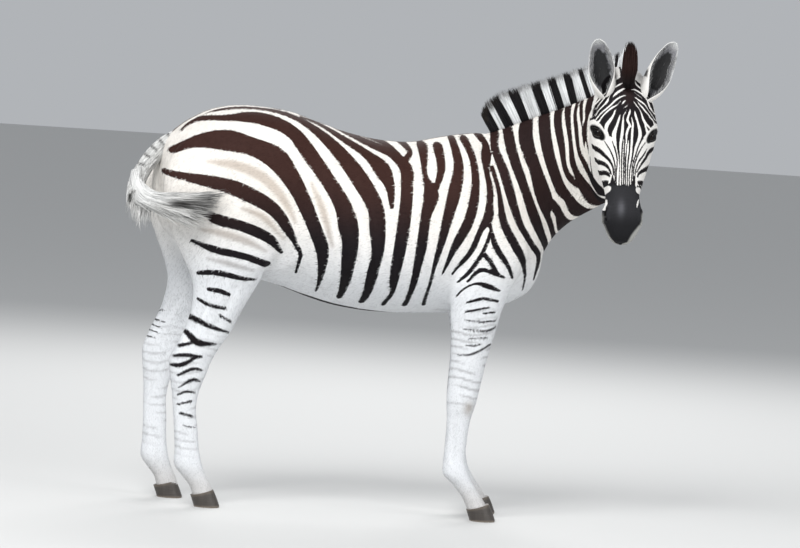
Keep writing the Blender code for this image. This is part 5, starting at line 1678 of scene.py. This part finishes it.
def eye(word):
    """An eyeball with a clear bulge in front, its iris and its lying pupil."""
    middle, *frame = eye_frame(sign_of(word))
    lat, lon = np.linspace(0.0, math.pi, EYE_GRID[0])[:, None], circle(EYE_GRID[1])
    away = EYE_RADIUS - 0.0006 + 0.0014 * ramp(lat, math.radians(40.0), math.radians(12.0))
    ball = columns(np.sin(lat) * np.cos(lon), np.sin(lat) * np.sin(lon), np.cos(lat))
    points = middle + (ball * away[..., None]) @ np.stack(frame)
    iris = np.broadcast_to(lat / math.radians(44.0), EYE_GRID)
    a, b = ball[..., 0] * EYE_RADIUS, ball[..., 1] * EYE_RADIUS
    pupil = np.hypot(a / 0.0095, b / 0.0055) + np.where(lat > 1.4, 9.0, 0.0)
    values = {"iris": iris.ravel(), "pupil": pupil.ravel()}
    obj = new_mesh("eyeball_" + word, on_head(points), grid_faces(*EYE_GRID, (0, 1)), values)
    turn_outward(obj.data, weld=1e-6)
    return obj


def lid_rim(word):
    """The wet dark edge of both lids, a thin tube round the opening."""
    side = sign_of(word)
    middle = eye_frame(side)[0]
    line = lid_line(side, circle(LID_GRID[0]), EYE_HALF_HEIGHTS, EYE_RADIUS + 0.0012)[1]
    away = unit(line - middle)
    way = unit(np.roll(line, -1, axis=0) - np.roll(line, 1, axis=0))
    small = circle(LID_GRID[1])[:, None]
    ring = away[:, None] * np.cos(small) + np.cross(away, way)[:, None] * np.sin(small)
    points = on_head(line[:, None] + 0.0016 * ring)
    obj = new_mesh("lid_rim_" + word, points, grid_faces(*LID_GRID, (1, 1)))
    turn_outward(obj.data)
    return obj


def lashes(rng):
    """Lashes on the upper lids, pointing out and down."""
    paths, n = [], LASHES
    u = np.linspace(0.0, 1.0, FINE_STEPS)
    heights = (EYE_HALF_HEIGHTS[0] + 0.0005,) * 2
    for side in (-1.0, 1.0):
        _, axis, up, out = eye_frame(side)
        turn = rng.uniform(0.12 * math.pi, 0.88 * math.pi, n)
        a, root = lid_line(side, turn, heights, EYE_RADIUS + 0.0020)
        length = rng.uniform(0.009, 0.015, n)
        way = unit(out + 0.35 * up + (a / EYE_HALF_LENGTH * 0.7)[:, None] * axis)
        bent = way[:, None] * u[:, None] - np.outer(u**2, 0.45 * up)
        paths.append(root[:, None] + length[:, None, None] * bent)
    paths = on_head(np.concatenate(paths))
    radius = tapering(np.full(2 * n, 0.00042), u, (0.0, 1.0), (1.0, 0.0))
    return locks("lashes", paths, radius, {"tone": np.zeros(2 * n)})


def hoof(name, spot):
    """A hoof with growth rings and a rounded toe."""
    turn = circle(HOOF_GRID[1])
    cos, sin = np.cos(turn), np.sin(turn)
    across = np.sign(sin) * np.abs(sin) ** 0.9
    u = np.linspace(0.0, 1.0, HOOF_GRID[0])
    shrink = np.interp(u, (0.0, 0.06, 0.55, 0.94, 1.0), (0.965, 0.995, 0.935, 0.870, 0.850))
    shrink = shrink + 0.0050 * np.sin(u * 55.0) * ramp(u, 0.06, 0.2) * ramp(u, 1.0, 0.9)
    back = np.interp(u, (0.0, 0.10, 0.55, 1.0), (0.0, 0.0, 0.5, 1.0))
    heel = 0.10 * hump(turn, math.pi, 0.16)
    rings = []
    for t, small, lean in zip(u, shrink, back):
        x = 0.002 + HOOF_HALF_LENGTH * (small * cos + heel) - 0.018 * lean
        y = spot[1] + HOOF_HALF_WIDTH * small * across
        rings.append(columns(spot[0] + x, y, t * (CORONET_HEIGHT + CORONET_SLOPE * x)))
    obj = loft("horn_" + name, rings)
    store(obj.data, {"tip": np.repeat(u, len(turn))})
    obj.data.shade_smooth()
    return obj


# ---------------------------------------------------------------- skin and coat

COAT_TUFTS = 210000
# Each piece of the coat: length and width of a tuft.
COAT_PIECES = {
    "coat_head": (0.0048, 0.0013),
    "coat_neck": (0.0085, 0.0024),
    "coat_fore": (0.0095, 0.0027),
    "coat_flank": (0.0100, 0.0028),
    "coat_rump": (0.0100, 0.0028),
    "coat_legs": (0.0068, 0.0020),
}
TUFT_FACES = [(0, 2, 1), (0, 3, 2), (1, 2, 3), (0, 1, 3)]
UPPER_CORNERS = np.array([0.0] * 3 + [1.0] * 6 + [0.0] * 3)  # those faces shade like the skin


def skin_values(points, head):
    """All the values that the coat's colour is made from, at points before posing."""
    values = markings(points, head)
    x, y, z = points.T
    at = np.flatnonzero(head)
    near = points[at]
    down, across, _ = head_frame(near)
    painted_sheen, bare_skin_and_shade = np.zeros((2, len(points)))
    # A painted highlight down the middle of the muzzle, and a fainter painted sheen over its upper part.
    middle = hump(across, -0.012, 0.011) * hump(down, 0.458, 0.024)
    painted_sheen[at] = 0.15 * ramp(down, 0.36, 0.40) * ramp(down, 0.52, 0.45) + 0.70 * middle
    dark = [ramp(nostril_distance(near), 0.0008, -0.0016)]
    dark.append(ramp(mouth_distance(near), 0.0022, 0.0008) * ramp(down, 0.44, 0.46))
    for word in ("right", "left"):
        almond, _, ahead = eye_shape(near, sign_of(word))
        dark.append(ramp(almond, 3.8, 2.5) * ramp(ahead, 0.0, 0.006))
        dark.append(in_the_ear(near, word))
    bare_skin_and_shade[at] = np.max(dark, axis=0)
    # Painted shade down the cleft between the buttocks, widest under the tail's root, where the bare skin is
    # dark too.
    cleft_shade = ramp(np.abs(y), 0.004 + 0.022 * ramp(z, 1.08, 1.17), 0.0) * ramp(x, -0.72, -0.76)
    values["painted_sheen"] = painted_sheen
    values["bare_skin_and_shade"] = np.maximum(bare_skin_and_shade, 0.9 * cleft_shade * ramp(z, 0.90, 1.00) * ramp(z, 1.21, 1.18))
    knee = hump(x, 0.232, 0.016) * hump(z, 0.372, 0.022)
    values["dust"] = np.clip(0.55 * knee + 0.35 * ramp(z, 0.16, 0.05), 0.0, 1.0)
    return values


def skin():
    """The one skin of the whole body. Returns the object and what the coat is made from."""
    obj = straight_body()
    mesh = obj.data
    points = points_of(mesh)
    head = on_the_head(points)
    moved = dressed(points, numbers(mesh.vertices, "normal"), head)
    values = skin_values(points, head)
    set_points(mesh, moved)
    uv = unwrap(mesh)
    store(mesh, values)
    mesh.calc_loop_triangles()
    given = {
        "points": moved,
        "normals": numbers(mesh.vertices, "normal"),
        "triangles": numbers(mesh.loop_triangles, "vertices", 3, np.int32),
        "uv": uv[numbers(mesh.loop_triangles, "loops", 3, np.int32)],
        "bare_skin_and_shade": values["bare_skin_and_shade"],
        "head": head,
    }
    set_points(mesh, posed(moved))
    mesh.shade_smooth()
    return obj, given


def lie(points, head):
    """The way the coat lies at points before posing."""
    x, y, z = points.T
    neck = ramp(x + 0.5 * (z - 1.1), 0.28, 0.45)
    leg = ramp(z, 0.85, 0.62)
    rump = ramp(x, -0.45, -0.70)
    back = -1.0 + 0.55 * neck + 0.85 * leg + 0.45 * rump
    fall = -0.30 - 0.55 * neck - 0.70 * leg - 0.50 * rump
    way = columns(back, 0.10 * np.sign(y) * leg, fall)
    down, across, deep = head_frame(points)
    cheek = ramp(deep, 0.05, 0.14)[:, None]
    on_face = head_way(1.0, 0.0, 0.0) * (1 - 0.75 * cheek) + head_way(0.0, 0.0, 1.0) * 0.9 * cheek
    on_face[:, 1] += 0.30 * np.sign(across) * ramp(down, 0.20, 0.05)
    way[head] = on_face[head]
    return unit(way)


def scattered(given, rng):
    """Tufts' places over the skin, thickest on head and legs: triangle and three corner shares."""
    triangles = given["triangles"]
    a, b, c = np.moveaxis(given["points"][triangles], 1, 0)
    middle = (a + b + c) / 3
    head = given["head"][triangles].any(axis=1)
    weight = np.linalg.norm(np.cross(b - a, c - a), axis=1) * np.where(head, 3.2, 1.0)
    weight *= 1 + 0.9 * ramp(middle[:, 2], 0.75, 0.50)
    weight *= given["bare_skin_and_shade"][triangles].max(axis=1) < 0.3
    weight *= np.where(head & (head_frame(middle)[0] > 0.50), 0.35, 1.0)
    count = COAT_TUFTS
    total = np.cumsum(weight)
    pick = np.searchsorted(total, rng.random(count) * total[-1])
    a, b = rng.random(count), rng.random(count)
    over = a + b > 1
    a[over], b[over] = 1 - a[over], 1 - b[over]
    return pick, columns(1 - a - b, a, b)[..., None], head[pick]


def coat(given, rng):
    """Short fur over the skin: thin pointed tufts that follow the lie of the coat."""
    pick, share, on = scattered(given, rng)
    count = len(pick)
    chosen = given["triangles"][pick]
    root = (given["points"][chosen] * share).sum(axis=1)
    normal = unit((given["normals"][chosen] * share).sum(axis=1))
    uv = (given["uv"][pick] * share).sum(axis=1)
    way = across_from(lie(root, on), normal)
    way = unit(way + 0.22 * rng.normal(size=(count, 3)))
    way = unit(across_from(way, normal))
    x, z = root[:, 0], root[:, 2]
    index = np.select([on, z < 0.60, x > 0.42, x > 0.06, x > -0.38], [0, 5, 1, 2, 3], 4)
    length, width = np.array(list(COAT_PIECES.values()))[index].T
    fine = np.where(on, ramp(head_frame(root)[0], 0.36, 0.46), 0.0)
    length = (length * rng.uniform(0.75, 1.30, count) * (1 - 0.45 * fine))[:, None]
    width = (width * rng.uniform(0.8, 1.2, count) * (1 - 0.35 * fine))[:, None]
    lift = length * rng.uniform(0.04, 0.11, count)[:, None]
    side = np.cross(normal, way)
    values = skin_values(root + way * rng.uniform(0.0, 0.7, count)[:, None] * length, on)
    values["bare_skin_and_shade"] = np.zeros(count)
    values["tone"] = rng.random(count)
    low = root - normal * 0.10 * width
    high = root + normal * 0.10 * width + way * 0.25 * length
    tip = root + way * length + normal * lift
    tufts = np.stack([low - side * width / 2, low + side * width / 2, high, tip], axis=1)
    pieces = []
    for k, name in enumerate(COAT_PIECES):
        here = np.flatnonzero(index == k)
        spread = {word: np.repeat(value[here], 4) for word, value in values.items()}
        faces, corners = repeated(TUFT_FACES, len(here), 4), patch(uv[here], len(TUFT_FACES))
        obj = new_mesh(name, posed(tufts[here]), faces, spread, corners)
        out = unit(posed(root[here] + 0.001 * normal[here]) - posed(root[here]))
        shading = out[:, None] * UPPER_CORNERS[:, None]
        obj.data.normals_split_custom_set(shading.reshape(-1, 3))
        pieces.append(obj)
    return pieces


# ---------------------------------------------------------------- studio

CAMERA_PLACE = (-2.1687, -15.7009, 1.6831)
CAMERA_RIGHT = np.array([0.98861, -0.13520, 0.06617])
CAMERA_UP = np.array([-0.05788, 0.06438, 0.99625])
CAMERA_AHEAD = np.array([0.13896, 0.98873, -0.05582])
CAMERA_LENS = 218.16
SENSOR_WIDTH = 36.0
FLOOR_RADIUS = 40.0
LIGHT_SIZE = 4.0
LIGHTS = (  # name, place, the point it looks at, power
    ("key", (-3.0, -5.5, 6.5), (0.0, 0.0, 0.9), 650.0),
    ("fill", (5.5, -5.0, 3.2), (0.2, 0.0, 0.9), 170.0),
    ("back", (1.0, 6.0, 5.0), (0.0, 0.0, 0.9), 260.0),
)
SKY = (0.80, 0.83, 0.87, 1.0)
SKY_STRENGTH = 0.55


def placed(right, up, back, spot):
    matrix = np.eye(4)
    matrix[:3] = columns(right, up, back, spot)
    return Matrix(matrix.tolist())


def studio():
    """A plain pale floor, soft lights and the camera."""
    scene = bpy.context.scene
    bpy.ops.mesh.primitive_circle_add(vertices=96, radius=FLOOR_RADIUS, fill_type="NGON")
    floor = bpy.context.object
    floor.name = "floor"
    floor.data.materials.append(plain_material("floor", (0.62, 0.62, 0.61), 0.9))
    world = bpy.data.worlds.new("studio")
    world.use_nodes = True
    sky = world.node_tree.nodes["Background"]
    sky.inputs["Color"].default_value = SKY
    sky.inputs["Strength"].default_value = SKY_STRENGTH
    scene.world = world
    for name, spot, aim, power in LIGHTS:
        light = bpy.data.lights.new(name, "AREA")
        light.size = LIGHT_SIZE
        light.energy = power
        way = unit(np.array(aim) - np.array(spot))
        right = unit(np.cross(way, (0.0, 0.0, 1.0)))
        linked(name, light).matrix_world = placed(right, np.cross(right, way), -way, spot)
    lens = bpy.data.cameras.new("camera")
    lens.lens = CAMERA_LENS
    lens.sensor_width = SENSOR_WIDTH
    lens.sensor_fit = "HORIZONTAL"
    lens.clip_end = 100.0
    camera = linked("camera", lens)
    camera.matrix_world = placed(CAMERA_RIGHT, CAMERA_UP, -CAMERA_AHEAD, CAMERA_PLACE)
    scene.camera = camera
    scene.view_settings.view_transform = "Standard"


# ---------------------------------------------------------------- the whole

FLESH_NODES = ("barrel", "forequarters", "hindquarters", "head", "muzzle", "neck_lower", "neck_upper")
PAIRED_NODES = ("cannon_fore", "cannon_hind", "forearm", "gaskin", "pastern_fore", "pastern_hind")


def ready(obj, material, slot, *nodes):
    """Gives a piece its material and body, and hides the nodes that it replaces. Its slot is not used."""
    obj.data.materials.append(material)
    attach(obj, "root")
    if nodes:
        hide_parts(*nodes)


def make_body(rng):
    """Skin and coat, mane, forelock and tail."""
    body, given = skin()
    striped = skin_material()
    paired = [f"{word}_{end}" for word in PAIRED_NODES for end in ("left", "right")]
    ready(body, striped, "striped_coat", *FLESH_NODES, *paired)
    fur = coat_material()
    for piece in coat(given, rng):
        ready(piece, fur, "striped_coat")
    crest = hair_material("mane_hair", MANE_HAIR)
    ready(mane(rng), crest, "mane_hair", "mane_front", "mane_middle", "mane_rear")
    tuft = hair_material("forelock_hair", FORELOCK_HAIR, 0.75)
    ready(forelock(rng), tuft, "mane_hair", "forelock")
    ready(dock(), striped, "tail_hair", "tail_dock")
    long_hair = hair_material("tail_hair", TAIL_HAIR)
    ready(tail_coat(rng), long_hair, "tail_hair")
    ready(switch(rng), long_hair, "tail_hair", "tail_switch")
    ready(wisps(rng), long_hair, "tail_hair")


def make_ears_and_eyes(rng):
    leaf = ear_material()
    pale = hair_material("ear_hair", EAR_HAIR)
    wet = plain_material("wet_lid", (0.0050, 0.0042, 0.0045), 0.28)
    iris = eye_material()
    for word in ("right", "left"):
        ready(ear(word), leaf, "ear_coat", "ear_" + word)
        ready(ear_hair(word, rng), pale, "ear_coat")
        ready(eye(word), iris, "eye", "eye_" + word)
        ready(lid_rim(word), wet, "eye")
    ready(lashes(rng), wet, "eye")


def make_hooves():
    horn = hoof_material()
    for pair, (x, y) in FEET.items():
        for word in ("right", "left"):
            spot = set_back(np.array([[x, sign_of(word) * y, 0.0]]))[0] + ORIGIN_SHIFT
            name = f"{pair}_{word}"
            ready(hoof(name, spot), horn, "hoof_horn", "hoof_" + name)


def main():
    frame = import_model()
    rng = np.random.default_rng(7)
    studio()
    make_body(rng)
    make_ears_and_eyes(rng)
    make_hooves()


main()
